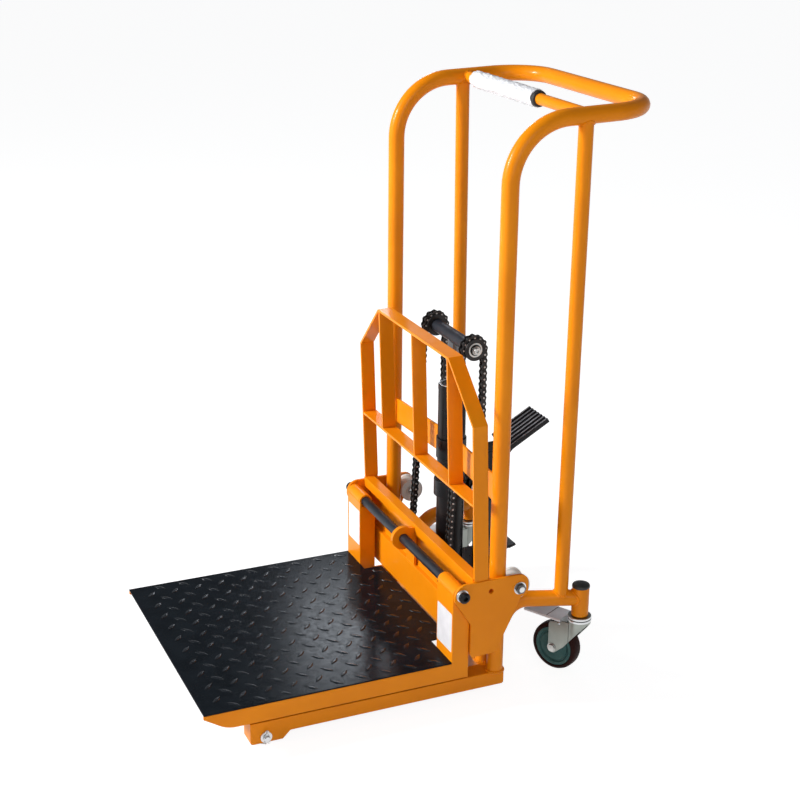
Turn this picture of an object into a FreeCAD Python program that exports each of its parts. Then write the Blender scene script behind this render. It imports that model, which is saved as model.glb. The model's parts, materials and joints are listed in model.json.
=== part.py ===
import FreeCAD, Part
import math
import os
import re
import Sketcher

# Hand pallet stacker: foot-pumped platform stacker with a tubular mast.
# Millimetres. +X is right, the fork points to -Y, +Z is up, the floor is z = 0.
# Depths (y) are measured from the plane of the front posts, which stands at mast_y.

DIMS = {
    # mast and handle tubes
    "mast_y": 139,
    "post_x": 250,
    "tube_dia": 32,
    "tube_wall": 2,
    "handle_front_z": 1115,
    "handle_rear_z": 1124.5,
    "top_bend": 115,
    "rear_bar_y": 298,
    "rear_bend": 92,
    "rear_post_y": 146,
    "rear_post_dia": 27.5,
    "rear_post_foot_x": 237.5,
    "rear_post_foot_y": 148.5,
    "grip_y": 153,
    "grip_dia": 22,
    "grip_sleeve_dia": 31,
    "grip_sleeve_start": -200,
    "grip_sleeve_length": 266,
    "wrap_wall": 2,
    "wrap_length": 256,
    # lower side tubes and caster sleeves
    "side_tube_foot_x": 205,
    "side_tube_foot_y": -3,
    "side_tube_knee_x": 207,
    "side_tube_knee_y": 56,
    "side_tube_knee_z": 171.5,
    "side_tube_end_z": 169.5,
    "side_tube_bend": 50,
    "sleeve_y": 186,
    "sleeve_dia": 34,
    "sleeve_low": 133,
    "sleeve_top": 193,
    "cap_height": 8,
    "cap_overhang": 0.5,
    "stem_gap": 2,
    "stem_dia": 20,
    "fit": 0.05,
    # legs and their rollers
    "leg_inner": 220,
    "leg_outer": 260,
    "leg_front": -503,
    "leg_rear": 16,
    "leg_top": 50,
    "leg_low": 21,
    "leg_nose_low": 6,
    "leg_nose_y": -440,
    "leg_nose_slope": 15,
    "leg_wall": 3,
    "leg_round": 5,
    "roller_y": -473,
    "roller_radius": 18,
    "roller_width": 30,
    "axle_dia": 12,
    "axle_end": 10,
    "axle_head": 5,
    "axle_lip": 4,
    "axle_washer": 3,
    "pin_floor_gap": 4,
    "pin_dia": 3,
    # base, cylinder and pump
    "base_front": -20,
    "base_thick": 10,
    "base_flange": 5,
    "lug_tab_half": 100,
    "lug_tab_rear": 60,
    "pump_tab_half": 50,
    "pump_tab_rear": 114,
    "cyl_y": 17,
    "cyl_dia": 56,
    "cyl_wall": 5,
    "cyl_floor": 10,
    "cyl_top": 546,
    "gland_height": 12,
    "gland_lip": 0.5,
    "clamp_low": 402,
    "clamp_high": 445,
    "clamp_dia": 61,
    "brace_low": 396,
    "brace_high": 449,
    "brace_thick": 5,
    "pump_half": 45,
    "pump_front": 46,
    "pump_rear": 112,
    "pump_top": 170,
    "barrel_y": 92,
    "barrel_dia": 40,
    "barrel_top": 300,
    "plunger_dia": 16,
    "plunger_low": 215,
    "plunger_top": 385.5,
    "plunger_lip": 4,
    "plunger_room": 30,
    "plunger_head": 8,
    # pedals
    "pivot_y": 58,
    "pivot_z": 338,
    "pivot_dia": 10,
    "bracket_reach": 10,
    "pin_overhang": 8,
    "bracket_height": 34,
    "bracket_wall": 6,
    "bracket_half": 18,
    "bracket_slot_half": 11,
    "pad_low_y": 128.4,
    "pad_low_z": 417,
    "pad_length": 100,
    "pad_width": 80,
    "pad_thick": 7,
    "pad_slope": 30,
    "rib_height": 2.5,
    "rib_width": 5.5,
    "arm_x": 24,
    "arm_thick": 5,
    "arm_foot": 11,
    "arm_reach": 44.6,
    "arm_elbow_y": 88,
    "arm_elbow_z": 409,
    "arm_heel": 14,
    "press_bar_z": 391,
    "press_bar_dia": 10,
    "rib_count": 7,
    "release_x": 40,
    "release_z": 196,
    "release_half": 5.5,
    "release_pin": 6,
    "release_gap": 0.5,
    "ear_depth": 10,
    "ear_thick": 6,
    "tread_half": 18,
    # ram, chain shaft, chain wheels and chains
    "rod_dia": 25,
    "rod_low": 80,
    "shaft_z": 656,
    "shaft_dia": 26,
    "shaft_half": 76,
    "spindle_dia": 16,
    "wheel_x": 87,
    "wheel_half": 10.6,
    "wheel_groove": 17.9,
    "wheel_flange": 22,
    "chain_pitch": 12.7,
    "chain_radius": 22.5,
    "chain_width": 16,
    "plate_half": 5.9,
    "waist_half": 4.2,
    "chain_gap": 0.4,
    "front_anchor_y": -27,
    "front_anchor_z": 228,
    "rear_anchor_z": 74,
    "anchor_height": 21.7,
    "spindle_end": 3,
    "end_head_radius": 7,
    "wheel_dish": 14,
    "wheel_dish_depth": 2,
    "piston_height": 20,
    "end_washer": 2,
    "end_head": 5,
    # carriage
    "cheek_inner": 269,
    "cheek_thick": 6,
    "rod_y": -86,
    "rod_z": 238,
    "fork_rod_dia": 20,
    "bolt_head": 8,
    "rod_head": 11,
    "rod_head_height": 16,
    "spare_hole_dia": 10,
    "spare_hole_y": -25,
    "spare_hole_z": 235.5,
    "upper_roller_y": 36,
    "upper_roller_z": 231,
    "upper_roller_radius": 25,
    "lower_roller_y": -28.5,
    "lower_roller_z": 120,
    "lower_roller_radius": 20,
    "upper_roller_width": 36,
    "lower_roller_width": 30,
    "guide_play": 0.5,
    "guide_head": 5.5,
    "guide_head_radius": 9,
    "guide_nut_radius": 10,
    "guide_gap": 0.3,
    "angle_front": -62,
    "angle_rear": -40,
    "angle_low": 244,
    "angle_top": 265,
    "angle_wall": 4,
    "beam_front": -59.5,
    "beam_low": 95,
    "beam_top": 168,
    "beam_thick": 8,
    "strap_x": -28,
    "strap_half": 20,
    "strap_thick": 5,
    "lug_thick": 10,
    "lug_wall": 14.5,
    "lug_height": 20,
    "lug_x": -4,
    "web_front": -50,
    "web_rear": -44,
    "back_foot_y": -59.3,
    "back_foot_z": 256,
    "back_lean": 2.06,
    "bar_depth": 30,
    "bar_thick": 5,
    "back_outer": 272,
    "back_shoulder_x": 168,
    "back_shoulder": 316,
    "back_height": 418.3,
    "back_bar_x": 162,
    "back_mid": 158.1,
    "plate_top": 259,
    # platform
    "deck_half": 268,
    "deck_front": -592,
    "deck_top": 95,
    "deck_thick": 3,
    "rail_low": 57,
    "rail_thick": 4,
    "rail_nose_y": -548,
    "rail_nose_z": 85,
    "upright_front": -101,
    "upright_rear": -66,
    "upright_inner": 197,
    "fork_sleeve_dia": 29,
    "sleeve_inner_left": 201,
    "sleeve_inner_right": 195,
    "tongue_half": 171,
    "tongue_gap": 2,
    "stiffener_low": 69,
    # casters, in their own frame: stem axis at the origin, trail along +x
    "trail": 49,
    "caster_radius": 50,
    "caster_width": 30,
    "cheek_gap": 16.5,
    "fork_thick": 3,
    "crown_low": 116,
    "skirt_end_x": 12,
    "skirt_foot_x": 23,
    "skirt_foot_z": 58,
    "skirt_slope": 1.3,
    "nut_radius": 8,
    "nut_thick": 4,
    "race_dia": 46,
    "race_top": 132,
    "hub_dia": 28,
    "rim_depth": 11,
    "web_recess": 7,
    "caster_turn_right": 209,
    "caster_turn_left": 270,
    "brake_pivot": 34,
    "brake_pivot_z": 107.5,
    "brake_pin_dia": 5,
    "brake_start": 30,
    "brake_reach": 115,
    "brake_low": 114.5,
    "brake_thick": 5,
    "brake_half": 24,
    "fork_front": 58,
    "hinge_front": 50,
    "hinge_half": 12,
    "hinge_low": 103.5,
}

SIDES = {"left": -1, "right": 1}
TO_X = FreeCAD.Rotation(FreeCAD.Vector(0, 1, 0), 90)
TO_Y = FreeCAD.Rotation(FreeCAD.Vector(1, 0, 0), -90)
UPRIGHT = FreeCAD.Rotation()
WORD = re.compile(r"[a-z][a-z_]*")
WHEEL_AXIS = ("cyl_y", "shaft_z")
ROD_AXIS = ("rod_y", "rod_z")
PIVOT_AXIS = ("pivot_y", "pivot_z")
RELEASE_AXIS = ("pump_rear - 1", "release_z")
CASTER_AXLE = ("trail", "caster_radius")
BRAKE_AXIS = ("brake_pivot", "brake_pivot_z")

doc = FreeCAD.newDocument("stacker")
sheet = doc.addObject("Spreadsheet::Sheet", "dims")
for row, (alias, value) in enumerate(DIMS.items(), start=1):
    sheet.set(f"A{row}", alias)
    sheet.set(f"B{row}", str(value))
    sheet.setAlias(f"B{row}", alias)
doc.recompute()
nodes = []


def expr(text):
    """Write a formula's plain names as cells of the sheet."""
    return WORD.sub(lambda word: ("dims." if word.group() in DIMS else "") + word.group(), str(text))


def number(text):
    """The value of a formula over the sheet."""
    return float(sheet.evalExpression(expr(text)))


def bind(obj, **sizes):
    for name, text in sizes.items():
        obj.setExpression(name, expr(text))
    return obj


def place(obj, x, y, z, rotation=UPRIGHT):
    """Put an object at formulas for x, y (from the post plane) and z."""
    obj.Placement = FreeCAD.Placement(FreeCAD.Vector(), rotation)
    for axis, text in zip("xyz", (x, f"mast_y + ({y})", z)):
        obj.setExpression(f"Placement.Base.{axis}", expr(text))
    return obj


def box(name, x, y, z, length, width, height):
    obj = doc.addObject("Part::Box", name)
    return place(bind(obj, Length=length, Width=width, Height=height), x, y, z)


def cylinder(name, radius, length, x, y, z, rotation=UPRIGHT):
    obj = doc.addObject("Part::Cylinder", name)
    return place(bind(obj, Radius=radius, Height=length), x, y, z, rotation)


def cut(name, base, *tools):
    for count, tool in enumerate(tools, start=1):
        result = doc.addObject("Part::Cut", f"{name}_cut{count}")
        result.Base = base
        result.Tool = tool
        base = result
    return base


def fuse(name, *shapes):
    result = doc.addObject("Part::MultiFuse", name + "_joined")
    result.Shapes = list(shapes)
    result.Refine = True
    return result


def group(name, shapes):
    result = doc.addObject("Part::Compound", name + "_set")
    result.Links = list(shapes)
    return result


def node(name, obj):
    """Name a finished piece, so that it is checked and written."""
    obj.Label = name
    nodes.append(obj)
    return obj


def span(sign, inner, outer):
    """Lowest x and length of a stretch between two distances from the middle plane."""
    start = inner if sign > 0 else f"-({outer})"
    return start, f"({outer}) - ({inner})"


def cross_rod(name, sign, inner, outer, radius, y, z):
    """A round bar along X on one side, from one distance from the middle to another."""
    start, length = span(sign, inner, outer)
    return cylinder(name, radius, length, start, y, z, TO_X)


def side_box(name, sign, inner, outer, y, z, width, height):
    start, length = span(sign, inner, outer)
    return box(name, start, y, z, length, width, height)


def origin_plane(body, role):
    """One of a body's own origin planes."""
    return [item for item in body.Origin.OriginFeatures if item.Role == role][0]


def polygon(body, plane, points, name):
    """A closed sketch whose corners are held at formulas from the body's origin."""
    sketch = body.newObject("Sketcher::SketchObject", name + "_sketch")
    sketch.AttachmentSupport = (origin_plane(body, plane), [""])
    sketch.MapMode = "FlatFace"
    values = [FreeCAD.Vector(number(u), number(w), 0) for u, w in points]
    for start, end in zip(values, values[1:] + values[:1]):
        sketch.addGeometry(Part.LineSegment(start, end), False)
    for index in range(len(points)):
        follower = (index + 1) % len(points)
        sketch.addConstraint(Sketcher.Constraint("Coincident", index, 2, follower, 1))
    for index, (corner, value) in enumerate(zip(points, values)):
        across = ("DistanceX", -2, corner[0], value.x)
        along = ("DistanceY", -1, corner[1], value.y)
        for kind, axis, text, size in (across, along):
            if abs(size) < 1e-9:
                sketch.addConstraint(Sketcher.Constraint("PointOnObject", index, 1, axis))
                continue
            number_of = sketch.addConstraint(Sketcher.Constraint(kind, -1, 1, index, 1, size))
            sketch.setExpression(f"Constraints[{number_of}]", expr(text))
    return sketch


def edges_at(shape, axis, corners):
    """Names of the straight edges along an axis that stand on the given corners."""
    across = [direction for direction in "xyz" if direction != axis]
    names = []
    for index, edge in enumerate(shape.Edges, start=1):
        ends = [[getattr(vertex.Point, direction) for direction in across] for vertex in edge.Vertexes]
        if any(all(math.dist(end, corner) < 1e-3 for end in ends) for corner in corners):
            names.append(f"Edge{index}")
    return names


def padded(name, plane, points, start, depth, rounds=None):
    """A plate cut to an outline, with some corners rounded; start is along the plane's normal."""
    body = doc.addObject("PartDesign::Body", name + "_body")
    sketch = polygon(body, plane, points, name)
    sketch.setExpression("AttachmentOffset.Base.z", expr(start))
    feature = body.newObject("PartDesign::Pad", name + "_pad")
    feature.Profile = sketch
    bind(feature, Length=depth)
    axis = {"YZ_Plane": "x", "XZ_Plane": "y", "XY_Plane": "z"}[plane]
    for radius in sorted(set((rounds or {}).values())):
        doc.recompute()
        chosen = [points[index] for index, size in rounds.items() if size == radius]
        corners = [tuple(number(text) for text in point) for point in chosen]
        fillet = body.newObject("PartDesign::Fillet", f"{name}_round")
        fillet.Base = (feature, edges_at(feature.Shape, axis, corners))
        fillet.Radius = radius
        feature = fillet
    bind(body, **{"Placement.Base.y": "mast_y"})
    return body


def rounded_path(corners, bends):
    """A wire of straight runs joined by tangent arcs."""
    points = [FreeCAD.Vector(*corner) for corner in corners]
    edges = []
    start = points[0]
    for before, corner, after, radius in zip(points, points[1:], points[2:], bends):
        into = (corner - before).normalize()
        out = (after - corner).normalize()
        turn = into.getAngle(out)
        reach = radius * math.tan(turn / 2)
        first = corner - into * reach
        last = corner + out * reach
        inward = (out - into).normalize()
        middle = corner + inward * (radius / math.cos(turn / 2) - radius)
        edges.append(Part.LineSegment(start, first).toShape())
        edges.append(Part.Arc(first, middle, last).toShape())
        start = last
    edges.append(Part.LineSegment(start, points[-1]).toShape())
    return Part.Wire(edges)


def swept(name, path, radius):
    """A round bar along a path."""
    first = path.Shape.Edges[0]
    profile = doc.addObject("Part::Circle", name + "_profile")
    bind(profile, Radius=radius)
    direction = first.tangentAt(first.FirstParameter)
    turn = FreeCAD.Rotation(FreeCAD.Vector(0, 0, 1), direction)
    profile.Placement = FreeCAD.Placement(first.Vertexes[0].Point, turn)
    result = doc.addObject("Part::Sweep", name)
    result.Sections = [profile]
    result.Spine = (path, [f"Edge{index}" for index in range(1, len(path.Shape.Edges) + 1)])
    result.Solid = True
    return result


def tube(name, corners, bends, outer="tube_dia"):
    """A bent tube and the full bar of the same outside, which copes the tubes that meet it."""
    path = doc.addObject("Part::Feature", name + "_path")
    path.Shape = rounded_path(corners, bends)
    full = swept(name + "_outside", path, f"{outer} / 2")
    bore = swept(name + "_bore", path, f"{outer} / 2 - tube_wall")
    return cut(name, full, bore), full


def spot(x, y, z):
    """A point in part coordinates from formulas, y counted from the post plane."""
    return number(x), number(f"mast_y + ({y})"), number(z)


def straight_tube(name, outer, wall, length, x, y, z, rotation=UPRIGHT):
    full = cylinder(name + "_outside", f"{outer} / 2", length, x, y, z, rotation)
    bore = cylinder(name + "_bore", f"{outer} / 2 - {wall}", length, x, y, z, rotation)
    return cut(name, full, bore)


def arm_height(y):
    """Height of the handle arms' middle line, which rises to the rear."""
    return f"handle_front_z + (handle_rear_z - handle_front_z) * ({y}) / rear_bar_y"


def build_mast():
    """Posts, handle arms and rear bar in one bent tube, then rear posts, side tubes and sleeves."""
    corners = [spot(f"{sign} * post_x", y, z) for sign in (-1, 1)
               for y, z in ((0, "leg_top"), (0, "handle_front_z"), ("rear_bar_y", "handle_rear_z"))]
    corners = corners[:3] + corners[:2:-1]
    bends = [DIMS["top_bend"], DIMS["rear_bend"], DIMS["rear_bend"], DIMS["top_bend"]]
    mast, mast_full = tube("mast", corners, bends)
    node("mast_handle_tube", mast)
    rear_posts, rear_full, side_tubes, sleeves, caps = [], [], [], [], []
    foot_lean = "(side_tube_knee_y - side_tube_foot_y) / (side_tube_knee_z - leg_top)"
    run_fall = "(side_tube_knee_z - side_tube_end_z) / (sleeve_y - side_tube_knee_y)"
    for side, sign in SIDES.items():
        x = f"{sign} * post_x"
        route = [spot(f"{sign} * side_tube_foot_x", f"side_tube_foot_y - tube_dia * {foot_lean}",
                      "leg_top - tube_dia"),
                 spot(f"{sign} * side_tube_knee_x", "side_tube_knee_y", "side_tube_knee_z"),
                 spot(x, "sleeve_y", "side_tube_end_z")]
        side_tube, side_full = tube("side_tube_" + side, route, [DIMS["side_tube_bend"]])
        below = box("side_tube_below_" + side, "-leg_outer", "-sleeve_y", "-leg_top", "2 * leg_outer",
                    "2 * sleeve_y", "2 * leg_top")
        height = "sleeve_top - sleeve_low"
        sleeve_full = cylinder("sleeve_full_" + side, "sleeve_dia / 2", height, x, "sleeve_y", "sleeve_low")
        bore = cylinder("sleeve_bore_" + side, "stem_dia / 2 + fit", height, x, "sleeve_y", "sleeve_low")
        side_tubes.append(cut("side_tube_coped_" + side, side_tube, below, sleeve_full))
        sleeves.append(cut("sleeve_" + side, sleeve_full, bore))
        caps.append(cylinder("cap_" + side, "sleeve_dia / 2 + cap_overhang", "cap_height", x, "sleeve_y",
                             "sleeve_top"))
        foot_z = f"side_tube_end_z + (sleeve_y - rear_post_foot_y) * {run_fall}"
        ends = [spot(f"{sign} * rear_post_foot_x", "rear_post_foot_y", foot_z),
                spot(x, "rear_post_y", arm_height("rear_post_y"))]
        post, post_full = tube("rear_post_" + side, ends, [], "rear_post_dia")
        rear_posts.append(cut("rear_post_coped_" + side, post, mast_full, side_full))
        rear_full.append(post_full)
    node("rear_posts", group("rear_posts", rear_posts))
    node("lower_side_tubes", group("lower_side_tubes", side_tubes))
    node("caster_sleeves", group("caster_sleeves", sleeves))
    node("sleeve_caps", group("sleeve_caps", caps))
    bar = straight_tube("grip", "grip_dia", "tube_wall", "2 * post_x", "-post_x", "grip_y",
                        arm_height("grip_y"), TO_X)
    node("grip_bar", cut("grip_coped", bar, mast_full, *rear_full))


def build_grip():
    """Rubber sleeve on the cross bar and the white wrap round most of it."""
    axis = ("grip_y", arm_height("grip_y"), TO_X)
    bar = cylinder("grip_core", "grip_dia / 2", "2 * post_x", "-post_x", *axis)
    radius = "grip_sleeve_dia / 2"
    rubber = cylinder("grip_rubber", radius, "grip_sleeve_length", "grip_sleeve_start", *axis)
    wrap = cylinder("wrap_full", f"{radius} + wrap_wall", "wrap_length", "grip_sleeve_start", *axis)
    node("grip_sleeve", cut("grip_sleeve", rubber, bar))
    node("grip_wrap", cut("grip_wrap", wrap, rubber))


def build_legs():
    """Channel legs, open below, with a deeper nose for the roller; then rollers and axles."""
    axles = []
    for side, sign in SIDES.items():
        start, width = span(sign, "leg_inner", "leg_outer")
        outline = [("leg_front", "leg_nose_low"), ("leg_nose_y", "leg_nose_low"),
                   ("leg_nose_y + leg_nose_slope", "leg_low"), ("leg_rear", "leg_low"),
                   ("leg_rear", "leg_top"), ("leg_front", "leg_top")]
        round_corner = DIMS["leg_round"]
        solid = padded("leg_" + side, "YZ_Plane", outline, start, width,
                       {0: round_corner, 3: round_corner, 4: round_corner})
        hollow = side_box("leg_hollow_" + side, sign, "leg_inner + leg_wall", "leg_outer - leg_wall",
                          "leg_front + leg_wall", "leg_nose_low - 1", "leg_rear - leg_front - 2 * leg_wall",
                          "leg_top - leg_wall - leg_nose_low + 1")
        hole = cross_rod("leg_hole_" + side, sign, "leg_inner - 1", "leg_outer + 1", "axle_dia / 2",
                         "roller_y", "roller_radius")
        node("leg_" + side, cut("leg_open_" + side, solid, hollow, hole))
        middle = "(leg_inner + leg_outer) / 2"
        wheel = cross_rod("leg_wheel_" + side, sign, f"{middle} - roller_width / 2",
                          f"{middle} + roller_width / 2", "roller_radius", "roller_y", "roller_radius")
        bore = cross_rod("leg_bore_" + side, sign, "leg_inner", "leg_outer", "axle_dia / 2 + fit",
                         "roller_y", "roller_radius")
        node("leg_roller_" + side, cut("leg_roller_" + side, wheel, bore))
        axles += build_leg_axle(side, sign)
    node("leg_roller_axles", group("leg_roller_axles", axles))


def build_leg_axle(side, sign):
    """Headed axle, washer outside the leg and a split pin through the axle's end."""
    shank = cross_rod("axle_shank_" + side, sign, "leg_inner", "leg_outer + axle_end", "axle_dia / 2",
                      "roller_y", "roller_radius")
    head = cross_rod("axle_head_" + side, sign, "leg_inner - axle_head", "leg_inner",
                     "axle_dia / 2 + axle_lip", "roller_y", "roller_radius")
    pin = cylinder("axle_pin_" + side, "pin_dia / 2", "2 * (roller_radius - pin_floor_gap)",
                   f"{sign} * (leg_outer + axle_end - axle_lip)", "roller_y", "pin_floor_gap")
    disc = cross_rod("axle_washer_" + side, sign, "leg_outer", "leg_outer + axle_washer",
                     "axle_dia / 2 + axle_lip + 1", "roller_y", "roller_radius")
    core = cross_rod("axle_core_" + side, sign, "leg_outer", "leg_outer + axle_end", "axle_dia / 2",
                     "roller_y", "roller_radius")
    axle = cut("axle_" + side, fuse("axle_" + side, shank, head), pin)
    return [axle, cut("washer_" + side, disc, core), pin]


def build_base():
    """Stepped plate between the legs with a front flange and a lug for each chain's fixed end."""
    right = [("leg_inner", "base_front"), ("leg_inner", "leg_rear"), ("lug_tab_half", "leg_rear"),
             ("lug_tab_half", "lug_tab_rear"), ("pump_tab_half", "lug_tab_rear"),
             ("pump_tab_half", "pump_tab_rear")]
    outline = right + [(f"-({x})", y) for x, y in reversed(right)]
    plate = padded("base_plate", "XY_Plane", outline, "leg_top - base_thick", "base_thick")
    flange = box("base_flange", "-leg_inner", "base_front", "leg_low", "2 * leg_inner", "base_flange",
                 "leg_top - leg_low")
    lug_front = "cyl_y + chain_radius - plate_half"
    lugs = [box("base_lug_" + side, f"{sign} * wheel_x - chain_width / 2", lug_front, "leg_top",
                "chain_width", "2 * plate_half", "rear_anchor_z - leg_top")
            for side, sign in SIDES.items()]
    node("base_crossmember", fuse("base", plate, flange, *lugs))


def build_cylinder():
    """Lift cylinder with its gland, the clamp round it and braces to the posts."""
    height = "cyl_top - leg_top"
    full = cylinder("cyl_full", "cyl_dia / 2", height, 0, "cyl_y", "leg_top")
    bore = cylinder("cyl_bore", "cyl_dia / 2 - cyl_wall", height, 0, "cyl_y", "leg_top + cyl_floor")
    node("cylinder_tube", cut("cylinder", full, bore))
    gland = cylinder("gland_full", "cyl_dia / 2 + gland_lip", "gland_height", 0, "cyl_y", "cyl_top")
    rod_hole = cylinder("gland_bore", "rod_dia / 2 + fit", "gland_height", 0, "cyl_y", "cyl_top")
    node("cylinder_gland", cut("gland", gland, rod_hole))
    clamp = cylinder("clamp_full", "clamp_dia / 2", "clamp_high - clamp_low", 0, "cyl_y", "clamp_low")
    node("cylinder_clamp", cut("clamp", clamp, full))
    braces = []
    for side, sign in SIDES.items():
        post = cylinder("brace_post_" + side, "tube_dia / 2", "brace_high", f"{sign} * post_x", 0, 0)
        near = f"{sign} * 20"
        far = f"{sign} * post_x"
        half = "brace_thick / 2"
        outline = [(near, f"cyl_y - {half}"), (far, f"0 - {half}"), (far, half), (near, f"cyl_y + {half}")]
        plate = padded("brace_" + side, "XY_Plane", outline, "brace_low", "brace_high - brace_low")
        braces.append(cut("brace_coped_" + side, plate, post, clamp, full))
    node("cylinder_braces", group("cylinder_braces", braces))


def build_pump():
    """Pump block with the plunger barrel and release ears, the plunger, the pedal's bracket and pin."""
    block = box("pump_body", "-pump_half", "pump_front", "leg_top", "2 * pump_half",
                "pump_rear - pump_front", "pump_top - leg_top")
    barrel = cylinder("pump_barrel", "barrel_dia / 2", "barrel_top - pump_top", 0, "barrel_y", "pump_top")
    bore = cylinder("pump_bore", "plunger_dia / 2 + fit", "barrel_top", 0, "barrel_y",
                    "plunger_low - plunger_room")
    ear_gap = "release_half + release_gap"
    ears = [box("release_ear_" + side, f"release_x + ({span(sign, ear_gap, ear_gap + ' + ear_thick')[0]})",
                "pump_rear - ear_thick", "pump_top", "ear_thick", "ear_depth",
                "release_z + ear_thick - pump_top")
            for side, sign in SIDES.items()]
    ear_hole = cylinder("ear_hole", "release_pin / 2", "4 * release_half + 2 * ear_thick",
                        "release_x - 2 * release_half - ear_thick", *RELEASE_AXIS, TO_X)
    node("pump_block", cut("pump", fuse("pump", block, barrel, *ears), bore, ear_hole))
    rod = cylinder("plunger_rod", "plunger_dia / 2", "plunger_top - plunger_low", 0, "barrel_y",
                   "plunger_low")
    head = cylinder("plunger_top", "plunger_dia / 2 + plunger_lip", "plunger_head", 0, "barrel_y",
                    "plunger_top - plunger_head")
    node("pump_plunger", fuse("plunger", rod, head))
    low = "pivot_z - bracket_height / 2"
    outside = "cyl_dia / 2 + bracket_wall"
    ring = cylinder("bracket_ring", outside, "bracket_height", 0, "cyl_y", low)
    lug = box("bracket_lug", "-bracket_half", "cyl_y", low, "2 * bracket_half",
              "pivot_y - cyl_y + bracket_reach", "bracket_height")
    slot = box("bracket_slot", "-bracket_slot_half", f"cyl_y + {outside}", low, "2 * bracket_slot_half",
               "pivot_y", "bracket_height")
    core = cylinder("bracket_core", "cyl_dia / 2", "bracket_height", 0, "cyl_y", low)
    hole = cylinder("bracket_hole", "pivot_dia / 2", "2 * arm_x", "-arm_x", *PIVOT_AXIS, TO_X)
    node("pedal_bracket", cut("bracket", fuse("bracket", ring, lug), slot, core, hole))
    node("pedal_pivot_pin", cylinder("pivot_pin", "pivot_dia / 2", "2 * (arm_x + pin_overhang)",
                                     "-arm_x - pin_overhang", *PIVOT_AXIS, TO_X))


def build_pump_pedal():
    """Foot pump pedal: sloped ribbed pad on two arms, with a cross bar that presses the plunger."""
    slope = math.radians(DIMS["pad_slope"])
    rise = f"{math.sin(slope):.6f}"
    run = f"{math.cos(slope):.6f}"
    end_y = f"pad_low_y + pad_length * {run}"
    end_z = f"pad_low_z + pad_length * {rise}"
    under_y = f"pad_thick * {rise}"
    under_z = f"pad_thick * {run}"
    foot = (f"pad_low_y + {under_y}", f"pad_low_z - {under_z}")
    pad_outline = [("pad_low_y", "pad_low_z"), foot, (f"{end_y} + {under_y}", f"{end_z} - {under_z}"),
                   (end_y, end_z)]
    pad = padded("pad", "YZ_Plane", pad_outline, "-pad_width / 2", "pad_width")
    count = DIMS["rib_count"]
    step = f"(pad_width - rib_width) / {count - 1}"
    rib_y = f"rib_height * {rise}"
    rib_z = f"rib_height * {run}"
    rib_outline = [("pad_low_y", "pad_low_z"), (end_y, end_z), (f"{end_y} - {rib_y}", f"{end_z} + {rib_z}"),
                   (f"pad_low_y - {rib_y}", f"pad_low_z + {rib_z}")]
    ribs = [padded(f"rib_{index}", "YZ_Plane", rib_outline, f"-pad_width / 2 + {index} * {step}",
                   "rib_width") for index in range(count)]
    reach = (f"pad_low_y + arm_reach * {run} + {under_y}", f"pad_low_z + arm_reach * {rise} - {under_z}")
    arm_outline = [("pivot_y - arm_foot", "pivot_z - arm_foot"),
                   ("pivot_y + arm_foot", "pivot_z - arm_foot"), reach, foot,
                   ("arm_elbow_y", "arm_elbow_z"), ("pivot_y - arm_foot", "pivot_z + arm_heel")]
    arms = [padded("arm_" + side, "YZ_Plane", arm_outline, span(sign, "arm_x - arm_thick", "arm_x")[0],
                   "arm_thick", {0: 9, 1: 9, 4: 6, 5: 6}) for side, sign in SIDES.items()]
    press = cylinder("press_bar", "press_bar_dia / 2", "2 * arm_x", "-arm_x", "barrel_y", "press_bar_z",
                     TO_X)
    hole = cylinder("pedal_hole", "pivot_dia / 2 + fit", "2 * pad_width", "-pad_width", *PIVOT_AXIS, TO_X)
    node("pump_pedal", cut("pump_pedal", fuse("pump_pedal", pad, *ribs, *arms, press), hole))


def build_release_pedal():
    """Small release pedal: lever, tread and the pin it turns on."""
    lever_outline = [("pump_rear - 5", "release_z - 5"), ("pump_rear + 4", "release_z - 5"),
                     ("pump_rear + 28", "release_z + 4"), ("pump_rear + 28", "release_z + 10"),
                     ("pump_rear - 5", "release_z + 4")]
    lever = padded("release", "YZ_Plane", lever_outline, "release_x - release_half", "2 * release_half")
    tread_outline = [("pump_rear + 14", "release_z + 6"), ("pump_rear + 30", "release_z + 11"),
                     ("pump_rear + 28", "release_z + 16"), ("pump_rear + 12", "release_z + 11")]
    tread = padded("tread", "YZ_Plane", tread_outline, "release_x - tread_half", "2 * tread_half")
    reach = "release_half + ear_thick + 3"
    pin = cylinder("release_pin", "release_pin / 2 - fit", f"2 * ({reach})", f"release_x - ({reach})",
                   *RELEASE_AXIS, TO_X)
    node("release_pedal", fuse("release_pedal", lever, tread, pin))


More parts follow.
